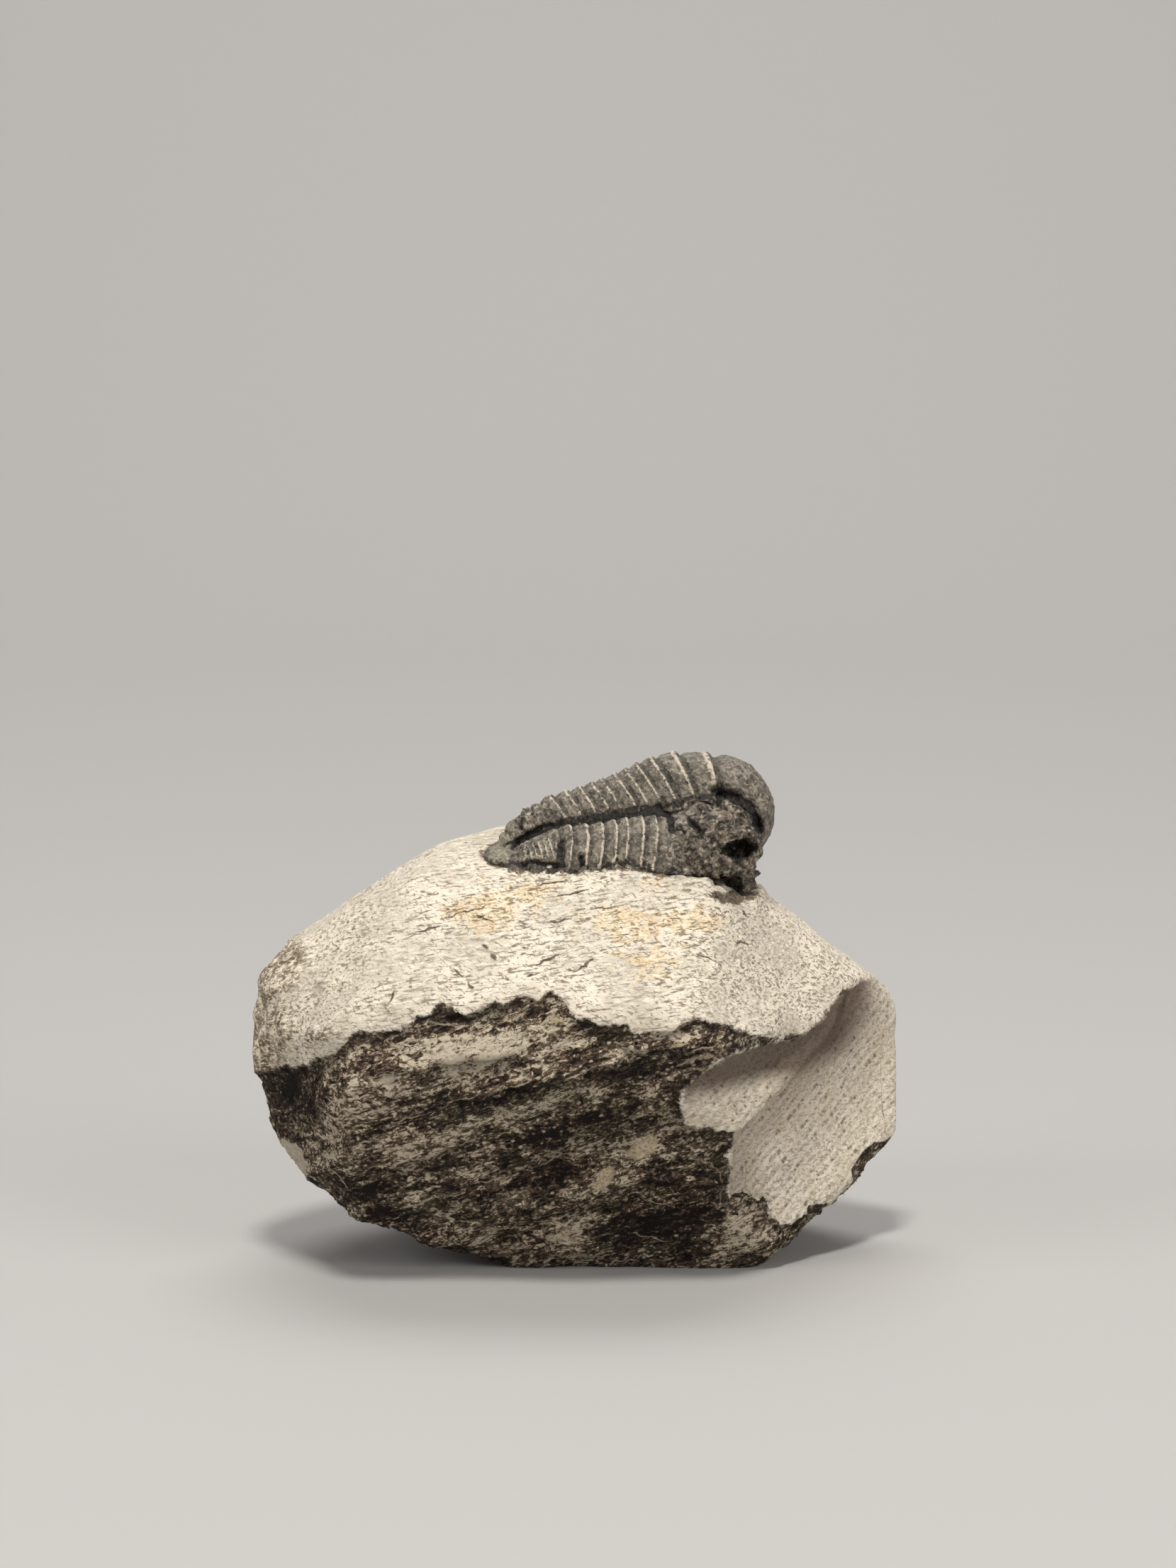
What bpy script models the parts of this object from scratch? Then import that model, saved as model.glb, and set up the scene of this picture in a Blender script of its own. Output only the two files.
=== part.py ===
"""Trilobite fossil on its block of limestone, at real size: metres, +Z up.

The stone is one broken block with a scribed, dome-shaped top, a rough front and a hollow-ground right face.
The trilobite lies arched on the top with its head to the right (+X), and its side view is from -Y.
The origin lies on the flat patch that the stone rests on, under the middle of the stone.
"""

import math

import bmesh
import bpy
import numpy as np
from mathutils import Vector, noise

MM = 0.001

# Stone: the point its surface is measured from, fineness, crispness of its edges and gap to the fossil
STONE_HEART = np.array((0.0, 0.0, 18.0))
STONE_STEPS = 5
EDGE_SHARPNESS = 32
GAP = 0.3

# Break faces of the stone: azimuth (0 right, -90 front, 90 back), elevation and distance from the heart in mm
BREAK_FACES = (
    (-90, 80, 17.0),
    (-92, 50.5, 17.4),
    (0, 55, 19.5),
    (180, 56.5, 21.4),
    (180, 68.5, 22.0),
    (84, 68, 20.3),
    (88, 46, 20.0),
    (-140, 42, 22.8),
    (130, 45, 20.3),
    (42, 40, 21.2),
    (180, 2, 28.1),
    (180, 30, 28.0),
    (180, -23, 28.6),
    (180, -67, 19.7),
    (-150, -12, 25.2),
    (-92, 2, 19.4),
    (-90, -32, 15.6),
    (-36.6, -11.5, 21.2),
    (-36, 30, 20.1),
    (0, 6, 28.7),
    (2, -33, 28.8),
    (2, -54, 24.1),
    (92, -4, 18.6),
    (140, 4, 22.5),
    (48, -2, 23.0),
    (88, -42, 19.8),
    (150, -35, 24.0),
    (0, -90, 19.6),
)

# Hollow flutes ground along the right face: a point on the face, depth of the hollow and its radius, in mm
RIGHT_FACE_NORMAL = (-36.6, -11.5)
FLUTE_RISE = 25.0
FLUTES = (
    ((21.0, -5.8, 13.0), 2.3, 13.5),
    ((15.4, -14.6, 18.3), 0.9, 6.5),
)

# Low hump of stone under the ribs: middle, spread and height
HUMP_MIDDLE = (3.6, -6.4)
HUMP_SPREAD = 3.0
HUMP_HEIGHT = 0.8

# Unevenness of the stone, in mm: slanting ripples on the broken sides, and lumps all over
RIPPLE_SLOPE = 24.0
RIPPLE_PITCH = 5.4
RIPPLE_DEPTH = 0.32
RIPPLE_WANDER = 1.6
LUMP_SIZE = 9.0
TOP_LUMPS = 0.25
SIDE_LUMPS = 0.70
SCRIBED_EDGE = (20.5, 24.0)

# Trilobite: middle plane, and the widths of its rings from the tail forward along the body, in mm
MIDDLE_Y = -0.9
FIRST_GROOVE_X = -5.4
TAIL_RINGS = (0.84,) * 4
THORAX_RINGS = (1.1, 1.4, 1.25, 1.1, 0.95, 1.4, 1.05, 1.15, 1.25, 1.45, 1.75)
RING_CUTS = (0.02, 0.25, 0.74, 0.88)
RIBS_END = 7.0

# Relief of the rings and ribs, how far they bow along the body, and the furrow beside the axis, in mm
RING_RELIEF = 0.30
RIB_RELIEF = 0.26
RING_BOW = 0.5
RIB_BOW = 0.4
FURROW_DEPTH = 0.7

# Body stations from the tail's tip to the front of the head. x and z are a point at the level of the furrows
# beside the axis, lean and fall are the tilts of the upward and sideways slopes in degrees, and the rest
# are the axis' half width and height, and the flank's width and drop.
STATIONS = (
    # x, z, lean, fall, axis width, axis height, flank width, flank drop
    (-8.0, 34.4, -40, -10, 0.30, 0.15, 1.20, 0.8),
    (-7.6, 34.9, -40, -10, 0.60, 0.40, 2.40, 1.4),
    (-7.1, 35.2, -38, -8, 0.80, 0.45, 3.20, 1.9),
    (-6.5, 35.5, -38, -6, 0.95, 0.80, 3.70, 2.3),
    (-5.9, 35.8, -36, -4, 1.20, 1.35, 3.80, 2.5),
    (-4.6, 36.5, -34, -2, 1.60, 1.75, 3.90, 3.0),
    (-3.1, 37.2, -30, 0, 1.95, 2.00, 3.80, 3.4),
    (-1.7, 37.9, -28, 0, 2.30, 2.05, 3.70, 3.8),
    (1.0, 38.4, -25, 0, 2.70, 2.35, 3.60, 4.2),
    (4.6, 39.0, -28, 0, 3.10, 3.05, 3.50, 4.6),
    (7.5, 39.2, -28, 0, 3.35, 4.10, 3.30, 4.8),
    (9.5, 39.8, -22, 0, 3.50, 4.05, 2.60, 5.4),
    (11.6, 40.1, -4, 2, 3.60, 3.45, 2.00, 5.6),
    (13.2, 39.9, 26, 18, 3.70, 3.00, 1.60, 2.6),
    (14.6, 38.8, 55, 45, 3.50, 2.20, 1.90, 1.9),
    (15.1, 37.5, 85, 75, 3.00, 1.55, 1.40, 1.4),
    (15.0, 36.3, 110, 100, 2.00, 1.10, 1.00, 1.0),
    (14.6, 35.6, 130, 120, 0.60, 0.50, 0.40, 0.4),
)
HEAD_END = len(STATIONS) - 1

# Points of one section: how far out along the flank, the angles over the axis, and the depth of its underside
FLANK_STEPS = (1.0, 0.8, 0.58, 0.34, 0.1)
FLANK_SWEEP = 96.0
AXIS_ANGLES = (80, 60, 40, 20)
BODY_DEPTH = 12.4
HEAD_DEPTH = 2.4
TAIL_SECTIONS = 8
HEAD_SECTIONS = 13

# Rounded rim of the tail shield, broken cheeks, eyes and the dark rock that the head stands in, in mm:
# centre, radii, depth of the roughness and fineness
LUMPS = (
    ("tail_rim", (-6.2, -0.9, 34.6), (2.3, 4.3, 0.95), 0.1, 3),
    ("near_eye", (13.2, -5.0, 38.3), (1.9, 1.3, 1.8), 0.15, 3),
    ("far_eye", (13.2, 3.2, 38.3), (1.9, 1.3, 1.8), 0.15, 2),
    ("near_cheek", (10.7, -4.8, 36.1), (4.3, 2.9, 3.5), 0.35, 3),
    ("far_cheek", (10.7, 3.0, 36.1), (4.3, 2.9, 3.5), 0.35, 2),
    ("head_root", (12.7, -2.4, 33.4), (2.6, 4.2, 3.4), 0.45, 3),
    ("chin", (13.1, -1.2, 36.1), (2.1, 3.3, 2.5), 0.2, 2),
)

# Dark hollows broken into the near side of the head
HOLLOWS = (
    ("cheek_hollow", (13.9, -6.3, 35.7), (1.3, 1.7, 0.8), 0.2, 2),
    ("root_hollow", (12.9, -6.7, 32.9), (1.0, 1.6, 0.9), 0.2, 2),
)
LUMP_GRAIN = 1.6

# Materials: colour and roughness
LIMESTONE = ((0.55, 0.50, 0.42), 0.92)
DARK_FOSSIL = ((0.075, 0.072, 0.065), 0.6)


def unit(azimuth, elevation):
    """Unit vector from an azimuth and an elevation in degrees."""
    a, e = math.radians(azimuth), math.radians(elevation)
    return np.array((math.cos(a) * math.cos(e), math.sin(a) * math.cos(e), math.sin(e)))


def fractal(points, wavelength, octaves, offset):
    """Fractal noise of about -1 to 1 at each point, whose coarsest lumps are one wavelength apart."""
    shift = Vector((offset, 0.37 * offset, 0.71 * offset))
    return np.array([noise.fractal(Vector(p) / wavelength + shift, 0.9, 2.0, octaves) for p in points])


def smooth_step(value, low, high):
    """0 below low, 1 above high and an S-curve between them."""
    t = np.clip((value - low) / (high - low), 0.0, 1.0)
    return t * t * (3.0 - 2.0 * t)


def flute_axes():
    """Point, direction and radius of each cylinder that hollows the right face."""
    out = unit(*RIGHT_FACE_NORMAL)
    level = np.cross((0.0, 0.0, 1.0), out)
    level /= np.linalg.norm(level)
    up = np.cross(out, level)
    rise = math.radians(FLUTE_RISE)
    along = level * math.cos(rise) + up * math.sin(rise)
    return [(np.array(point) + out * (radius - depth), along, radius) for point, depth, radius in FLUTES]


def distance_to_cylinder(rays, point, along, radius):
    """How far each ray from the stone's heart runs before it meets the cylinder."""
    offset = point - STONE_HEART
    across = rays - np.outer(rays @ along, along)
    offset = offset - along * (offset @ along)
    a = np.sum(across * across, axis=1)
    b = across @ offset
    inside = b * b - a * (offset @ offset - radius * radius)
    hits = (inside > 0) & (b > 0)
    reach = (b - np.sqrt(np.where(hits, inside, 0.0))) / a
    return np.where(hits, reach, np.inf)


def broken_share(points):
    """1 on the stone's broken front and back, 0 on its scribed top and its ground right face."""
    x, y, z = points.T
    below_edge = 1.0 - smooth_step(z, *SCRIBED_EDGE)
    left_of_flutes = 1.0 - smooth_step(x + 0.15 * (STONE_HEART[2] - z), 9.5, 13.0)
    front = left_of_flutes * smooth_step(-y, 2.0, 9.0)
    back = smooth_step(y, 2.0, 9.0)
    return below_edge * (front + back)


def stone_surface(rays):
    """Distance in mm from the stone's heart to its surface along each ray."""
    pull = np.zeros(len(rays))
    for azimuth, elevation, distance in BREAK_FACES:
        pull += (np.clip(rays @ unit(azimuth, elevation), 0.0, None) / distance) ** EDGE_SHARPNESS
    for point, along, radius in flute_axes():
        pull += distance_to_cylinder(rays, point, along, radius) ** -float(EDGE_SHARPNESS)
    reach = pull ** (-1.0 / EDGE_SHARPNESS)

    points = STONE_HEART + rays * reach[:, None]
    slope = math.radians(RIPPLE_SLOPE)
    across = points[:, 2] * math.cos(slope) - points[:, 0] * math.sin(slope)
    wander = RIPPLE_WANDER * fractal(points, 11.0, 2, 4.0)
    ripples = np.sin(2.0 * math.pi * (across + wander) / RIPPLE_PITCH)
    top = smooth_step(points[:, 2], 22.0, 30.0)
    from_hump = (points[:, 0] - HUMP_MIDDLE[0]) ** 2 + (points[:, 1] - HUMP_MIDDLE[1]) ** 2
    reach += broken_share(points) * RIPPLE_DEPTH * ripples
    reach += fractal(points, LUMP_SIZE, 3, 1.0) * (SIDE_LUMPS + (TOP_LUMPS - SIDE_LUMPS) * top)
    reach += top * HUMP_HEIGHT * np.exp(-from_hump / HUMP_SPREAD**2)
    return reach


def new_object(name, bm, collection):
    """Object from a bmesh, which it frees, in the collection."""
    mesh = bpy.data.meshes.new(name)
    bm.to_mesh(mesh)
    bm.free()
    part = bpy.data.objects.new(name, mesh)
    collection.objects.link(part)
    return part


def make_stone(name, collection, swell=0.0):
    """The block: an icosphere whose points move out to the break faces. Swell adds that many mm all round."""
    bm = bmesh.new()
    bmesh.ops.create_icosphere(bm, subdivisions=STONE_STEPS, radius=1.0)
    rays = np.array([v.co.normalized() for v in bm.verts])
    points = STONE_HEART + rays * (stone_surface(rays) + swell)[:, None]
    points[:, 2] = np.maximum(points[:, 2], 0.0)
    for vertex, point in zip(bm.verts, points):
        vertex.co = Vector(point) * MM
    return new_object(name, bm, collection)


def station_at(place):
    """The body's station values at a place from 0 (tail) to the last station (front of the head)."""
    table = np.array(STATIONS)
    i = int(min(max(place, 0.0), len(table) - 1.000001))
    t = place - i
    before = table[max(i - 1, 0)]
    start, end = table[i], table[i + 1]
    after = table[min(i + 2, len(table) - 1)]
    bend = 2.0 * before - 5.0 * start + 4.0 * end - after
    twist = 3.0 * (start - end) + after - before
    return 0.5 * (2.0 * start + (end - before) * t + bend * t * t + twist * t**3)


def ring_profile(turn):
    """Height from 0 to 1 of one ring of the body, over one turn from its groove at the tail side."""
    turn = turn % 1.0
    body = 0.62 * smooth_step(turn, 0.0, 0.22) + 0.10 * smooth_step(turn, 0.2, 0.7)
    lip = 0.28 * np.exp(-(((turn - 0.80) / 0.10) ** 2))
    drop = 1.0 - smooth_step(turn, 0.86, 0.99)
    return (body + lip) * drop


def groove_places():
    """Positions along x of the grooves between rings, from the tail forward."""
    return FIRST_GROOVE_X + np.concatenate(([0.0], np.cumsum(TAIL_RINGS + THORAX_RINGS)))


def rings_before(x):
    """How many rings lie between the first groove and this position, as a fraction inside a ring."""
    grooves = groove_places()
    return np.interp(x, grooves, np.arange(len(grooves)))


def relief_share(x, tail_share, end):
    """Depth of the rings here: shallow in the tail shield, full in the thorax, none past its end."""
    grooves = groove_places()
    waist = grooves[len(TAIL_RINGS)]
    tail = tail_share * smooth_step(x, grooves[0] - 0.2, grooves[0] + 0.5)
    thorax = (1.0 - tail_share) * smooth_step(x, waist - 0.3, waist + 0.1)
    return (tail + thorax) * (1.0 - smooth_step(x, end - 0.05, end + 0.3))


def body_section(place):
    """Closed loop of points round the body: over the top from the far edge to the near one, then under."""
    x, z, lean, fall, axis_width, axis_height, flank_width, flank_drop = station_at(place)
    lean, fall = math.radians(lean), math.radians(fall)
    up = np.array((math.sin(lean), 0.0, math.cos(lean)))
    down = -np.array((math.sin(fall), 0.0, math.cos(fall)))
    base = np.array((x, MIDDLE_Y, z))
    ring_share = relief_share(x, 0.45, groove_places()[-1])
    rib_share = relief_share(x, 0.25, RIBS_END)
    furrow_share = smooth_step(x, -6.8, -5.4) * (1.0 - 0.7 * smooth_step(x, 11.5, 13.0))
    profile = ring_profile(rings_before(x)) - 0.6

    def flank_point(side, step):
        angle = step * math.radians(FLANK_SWEEP)
        lift = RIB_RELIEF * rib_share * profile
        furrow = furrow_share * FURROW_DEPTH * math.exp(-(((step - 0.06) / 0.13) ** 2))
        out = axis_width + (flank_width + lift) * math.sin(angle)
        drop = flank_drop * (1.0 - math.cos(angle)) - lift * math.cos(angle) + furrow
        bow = RIB_BOW * rib_share * math.sin(math.pi * step)
        return base + np.array((bow, side * out, 0.0)) + down * drop

    def axis_point(side, degrees):
        angle = math.radians(degrees)
        lift = RING_RELIEF * ring_share * profile
        out = axis_width * math.sin(angle) ** 0.9 + lift * math.sin(angle)
        height = axis_height * math.cos(angle) ** 0.8 - 0.15 + lift
        bow = -RING_BOW * ring_share * math.cos(angle) ** 3
        return base + np.array((bow, side * out, 0.0)) + up * height

    far = [flank_point(1.0, step) for step in FLANK_STEPS] + [axis_point(1.0, angle) for angle in AXIS_ANGLES]
    near = [axis_point(-1.0, angle) for angle in AXIS_ANGLES[::-1]]
    near += [flank_point(-1.0, step) for step in FLANK_STEPS[::-1]]
    head_share = smooth_step(x, 11.6, 13.6)
    depth = min(flank_drop + 1.2, BODY_DEPTH + (HEAD_DEPTH - BODY_DEPTH) * head_share)
    half = 0.55 * (axis_width + flank_width)
    under = [base + np.array((0.0, side * half, 0.0)) + down * depth for side in (-1.0, 1.0)]
    return far + [axis_point(1.0, 0.0)] + near + under


def body_places():
    """Places along the body where it has a section: even in the tail and head, and in step with the rings."""
    fine = np.linspace(0.0, HEAD_END - 2.0, 400)
    fine_x = [station_at(place)[0] for place in fine]
    grooves = groove_places()
    cuts = [start + (end - start) * cut for start, end in zip(grooves, grooves[1:]) for cut in RING_CUTS]
    ringed = list(np.interp(cuts, fine_x, fine))
    tail = np.linspace(0.03, ringed[0], TAIL_SECTIONS, endpoint=False)
    head_start = np.interp(grooves[-1], fine_x, fine)
    head = np.linspace(head_start, HEAD_END - 0.03, HEAD_SECTIONS)
    return list(tail) + ringed + list(head)


def make_body(collection):
    """The trilobite's rings and shields: a loft through its sections, with its two ends closed."""
    bm = bmesh.new()
    loops = [[bm.verts.new(Vector(p) * MM) for p in body_section(place)] for place in body_places()]
    for loop, following in zip(loops, loops[1:]):
        count = len(loop)
        for i in range(count):
            j = (i + 1) % count
            bm.faces.new((loop[i], loop[j], following[j], following[i]))
    bm.faces.new(loops[0][::-1])
    bm.faces.new(loops[-1])
    bmesh.ops.triangulate(bm, faces=bm.faces[:])
    bmesh.ops.recalc_face_normals(bm, faces=bm.faces[:])
    return new_object("trilobite", bm, collection)


def make_lump(name, centre, radii, roughness, fineness, collection):
    """A rough lump: an icosphere stretched to its radii and roughened."""
    bm = bmesh.new()
    bmesh.ops.create_icosphere(bm, subdivisions=fineness, radius=1.0)
    rays = np.array([v.co.normalized() for v in bm.verts])
    points = np.array(centre) + rays * np.array(radii)
    points += rays * (roughness * fractal(points, LUMP_GRAIN, 2, 3.0))[:, None]
    for vertex, point in zip(bm.verts, points):
        vertex.co = Vector(point) * MM
    return new_object(name, bm, collection)


def add_boolean(part, operation, other):
    """Joins the other shape to the part or cuts it away. The head's sections cross under its skin."""
    modifier = part.modifiers.new(other.name, "BOOLEAN")
    modifier.operation = operation
    modifier.solver = "EXACT"
    modifier.use_self = True
    modifier.object = other


def hide_helper(part):
    part.hide_render = True
    part.display_type = "WIRE"


def make_material(name, colour, roughness):
    material = bpy.data.materials.new(name)
    material.use_nodes = True
    shader = material.node_tree.nodes["Principled BSDF"]
    shader.inputs["Base Color"].default_value = (*colour, 1.0)
    shader.inputs["Roughness"].default_value = roughness
    shader.inputs["Metallic"].default_value = 0.0
    material.diffuse_color = (*colour, 1.0)
    return material


def clear_scene():
    for old in list(bpy.data.objects):
        bpy.data.objects.remove(old, do_unlink=True)


def main():
    clear_scene()
    parts = bpy.data.collections.new("trilobite_fossil")
    helpers = bpy.data.collections.new("helpers")
    for collection in (parts, helpers):
        bpy.context.scene.collection.children.link(collection)

    stone = make_stone("limestone_block", parts)
    stone.data.materials.append(make_material("limestone", *LIMESTONE))

    trilobite = make_body(parts)
    trilobite.data.materials.append(make_material("dark_fossil", *DARK_FOSSIL))
    for operation, lumps in (("UNION", LUMPS), ("DIFFERENCE", HOLLOWS)):
        for name, centre, radii, roughness, fineness in lumps:
            lump = make_lump(name, centre, radii, roughness, fineness, helpers)
            hide_helper(lump)
            add_boolean(trilobite, operation, lump)

    clearance = make_stone("stone_clearance", helpers, swell=GAP)
    hide_helper(clearance)
    add_boolean(trilobite, "DIFFERENCE", clearance)


main()
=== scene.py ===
"""Looks of the trilobite fossil: a dark trilobite on its block of limestone.

Tables are in mm and degrees; meshes are in metres, in the part's frame: +X is the head's end, -Y the front.
Marks that show on the front are placed by where they are seen from there, across and up from the foot.
"""

import math

import bmesh
import bpy
import numpy as np
from mathutils import Matrix, Vector, kdtree, noise


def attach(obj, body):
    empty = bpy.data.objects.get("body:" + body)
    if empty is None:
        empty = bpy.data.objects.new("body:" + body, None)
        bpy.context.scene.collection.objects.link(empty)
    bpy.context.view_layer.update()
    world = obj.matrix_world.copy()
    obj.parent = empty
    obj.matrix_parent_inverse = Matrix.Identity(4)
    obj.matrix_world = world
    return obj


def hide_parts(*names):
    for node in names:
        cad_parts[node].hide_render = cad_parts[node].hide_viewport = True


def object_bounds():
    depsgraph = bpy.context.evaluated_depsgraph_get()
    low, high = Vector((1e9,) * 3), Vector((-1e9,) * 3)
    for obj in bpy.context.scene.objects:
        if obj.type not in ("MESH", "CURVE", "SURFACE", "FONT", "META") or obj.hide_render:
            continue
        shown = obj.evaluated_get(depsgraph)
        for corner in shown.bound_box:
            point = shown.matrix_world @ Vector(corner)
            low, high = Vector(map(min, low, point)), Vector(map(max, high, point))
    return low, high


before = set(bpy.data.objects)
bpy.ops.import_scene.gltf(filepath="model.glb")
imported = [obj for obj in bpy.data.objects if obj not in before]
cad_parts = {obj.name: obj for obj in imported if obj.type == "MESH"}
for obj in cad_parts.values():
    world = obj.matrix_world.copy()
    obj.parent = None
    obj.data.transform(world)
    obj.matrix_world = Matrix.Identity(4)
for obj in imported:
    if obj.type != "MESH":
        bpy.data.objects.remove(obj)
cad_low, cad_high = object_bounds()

MM = 0.001

# ---------------------------------------------------------------- the view

PICTURE = (1659, 2212)
PIXEL = 0.061
EYE_DISTANCE = 420.0
EYE_HEIGHT = 10.0
AIM = np.array((0.0, 0.0, 21.0))
AIM_PIXEL = (818.5, 1427.0)
FOOT_PIXEL = 1794.0
SENSOR = 36.0

# ---------------------------------------------------------------- the block, as in the part

STONE_HEART = np.array((0.0, 0.0, 18.0))
EDGE_SHARPNESS = 32
BREAK_FACES = (
    (-90, 80, 17.0), (-92, 50.5, 17.4), (0, 55, 19.5), (180, 56.5, 21.4), (180, 68.5, 22.0), (84, 68, 20.3),
    (88, 46, 20.0), (-140, 42, 22.8), (130, 45, 20.3), (42, 40, 21.2), (180, 2, 28.1), (180, 30, 28.0),
    (180, -23, 28.6), (180, -67, 19.7), (-150, -12, 25.2), (-92, 2, 19.4), (-90, -32, 15.6),
    (-36.6, -11.5, 21.2), (-36, 30, 20.1), (0, 6, 28.7), (2, -33, 28.8), (2, -54, 24.1), (92, -4, 18.6), (140, 4, 22.5),
    (48, -2, 23.0), (88, -42, 19.8), (150, -35, 24.0), (0, -90, 19.6),
)
RIGHT_FACE_NORMAL = (-36.6, -11.5)
FLUTE_RISE = 25.0
FLUTES = (((21.0, -5.8, 13.0), 2.3, 13.5), ((15.4, -14.6, 18.3), 0.9, 6.5))
HUMP_MIDDLE = (3.6, -6.4)
HUMP_SPREAD = 3.0
HUMP_HEIGHT = 0.8
RIPPLE_SLOPE = 24.0
RIPPLE_PITCH = 5.4
RIPPLE_DEPTH = 0.32
RIPPLE_WANDER = 1.6
LUMP_SIZE = 9.0
TOP_LUMPS = 0.25
SIDE_LUMPS = 0.70
SCRIBED_EDGE = (20.5, 24.0)

# Fineness of the block's surface along x, y and z, and how far it is drawn together toward the front
STONE_GRID = (142, 102, 100)
FINE_SIDE = (0.10, -0.80, 0.45)
FINE_SHARE = 0.30

# ---------------------------------------------------------------- marks on the block, seen from the front

# Ragged lower edge of the scribed top, from left to right
SCRIBED_LINE = (
    (-40, 16.8), (-27.3, 17.2), (-24.6, 17.6), (-22.5, 18.2), (-21.2, 18.7), (-20.2, 19.1), (-19.9, 20.2),
    (-18.9, 20.8), (-18, 20.5), (-16.6, 20.7), (-15, 21.15), (-14.2, 21.9), (-13.1, 22.1), (-12.2, 22.9),
    (-10.9, 22.65), (-9.9, 22.1), (-8.65, 22.3), (-7.6, 23.1), (-6.8, 23.0), (-5.3, 23.6), (-3.6, 23.2),
    (-2.6, 24.2), (-1.55, 23.4), (-0.7, 22.3), (-0.06, 21.7), (2.0, 21.5), (4.05, 21.15), (4.8, 20.4),
    (7.8, 20.4), (8.9, 21.3), (10.0, 21.9), (11.15, 21.5), (12.6, 21.3), (14.1, 20.6), (15.6, 20.2),
    (17.4, 20.0), (19.4, 20.6), (22.4, 24.0), (25.7, 25.6), (40, 30),
)

# Outline of the light, ground right face
GROUND_OUTLINE = (
    (15.8, 19.7), (13.2, 18.7), (11.3, 17.7), (9.94, 16.7), (8.97, 15.7), (8.57, 14.0), (9.16, 12.4),
    (9.93, 12.35), (13.04, 11.9), (13.04, 10.88), (12.63, 9.24), (12.63, 7.28), (12.95, 6.14), (14.2, 6.5),
    (15.98, 6.14), (16.3, 4.5), (18.3, 3.87), (19.3, 4.8), (21.4, 5.2), (23.4, 7.6), (24.4, 9.0),
    (25.7, 10.0), (27.4, 12.0), (40, 18), (40, 32), (25.7, 25.6), (22.4, 24.0), (19.4, 20.6), (17.4, 20.0),
)

# Upper edge of the high flute, the arris between it and the low flute, and the thin dark line inside the right rim
HIGH_EDGE = ((7.0, 17.2), (9.6, 18.0), (12.2, 18.7), (15.6, 19.6), (18.0, 19.8), (20.8, 21.4), (22.4, 24.2))
ARRIS = ((12.4, 5.5), (12.7, 9.0), (13.0, 12.0), (15.3, 14.1), (17.3, 16.3), (19.6, 18.3), (21.6, 20.6), (22.9, 24.0))
RIM_LINE = ((26.7, 24.0), (26.75, 21.0), (27.1, 17.0), (27.35, 13.6), (26.5, 12.3))
RIM_LINE_HALF_WIDTH = 0.11

# Crust left along the rim of the right face, in the same terms as the patches below
RIM_CRUST = (
    (24.3, 9.1, 1.5, 0.55, 48, 1.0), (25.7, 10.4, 0.8, 0.35, 55, 0.9), (20.6, 5.2, 1.3, 0.6, 12, 1.0),
    (22.9, 6.8, 1.6, 0.35, 48, 0.85), (14.3, 5.8, 1.6, 0.9, 0, 1.0),
)

# Ledges across the dark break: start, end, how far they stand out and how far down the recess below reaches
LEDGES = (
    ((-16.0, 13.2), (8.0, 18.6), 0.45, 1.9),
    ((-19.5, 16.6), (-3.0, 18.9), 0.22, 1.0),
    ((-9.0, 8.6), (9.4, 14.6), 0.35, 1.7),
    ((-2.0, 5.2), (8.8, 9.0), 0.30, 1.5),
    ((-21.0, 8.0), (-8.5, 10.8), 0.25, 1.4),
    ((2.8, 19.3), (11.0, 18.9), 0.35, 1.3),
    ((-17.5, 4.9), (-5.0, 7.2), 0.22, 1.2),
    ((3.0, 3.4), (12.0, 6.4), 0.28, 1.8),
    ((-13.0, 22.0), (-5.5, 23.0), 0.25, 1.2),
)

# Parts of the break that catch the light or lie dark, in the same terms as the patches below
LIT_PATCHES = (
    (-8.5, 19.0, 8.0, 2.6, 8, 1.0), (-16.5, 15.5, 5.5, 2.6, 10, 0.55), (4.5, 19.6, 4.5, 1.2, -6, 0.4),
    (-14.5, 10.5, 6.0, 1.6, 12, 0.45), (-5.5, 13.6, 7.0, 1.0, 16, 0.5), (0.0, 16.6, 7.0, 0.9, 18, 0.35),
    (-9.0, 5.2, 6.0, 1.5, 12, 0.2), (-1.0, 3.0, 3.0, 2.0, 20, 0.6), (9.0, 20.2, 3.4, 0.8, 0, 0.9),
    (4.5, 9.6, 4.5, 1.6, 32, 0.7), (14.5, 3.4, 2.6, 2.2, 40, 0.8), (10.0, 9.5, 2.6, 0.7, 60, 0.3),
    (-21.5, 12.0, 2.5, 3.0, 0, 0.35),
)
GLOOMY_PATCHES = (
    (7.0, 4.2, 5.5, 2.2, 6, 0.9), (-25.2, 15.6, 2.4, 2.0, -60, 1.0), (5.5, 17.4, 4.5, 0.8, 8, 0.9),
    (-8.0, 14.9, 8.0, 0.8, 14, 0.8), (-2.0, 11.9, 7.0, 0.8, 20, 0.75), (-18.5, 6.0, 4.5, 1.2, -32, 0.7),
    (11.0, 8.6, 1.8, 2.6, 0, 0.5), (-11.5, 21.8, 2.4, 0.7, 8, 0.8), (2.2, 20.6, 2.4, 0.5, -8, 0.9),
    (-15.5, 7.6, 4.0, 0.7, 20, 0.4), (12.6, 20.6, 1.6, 0.5, -4, 0.6), (-4.0, 7.2, 6.0, 1.6, 10, 0.35),
)

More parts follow.
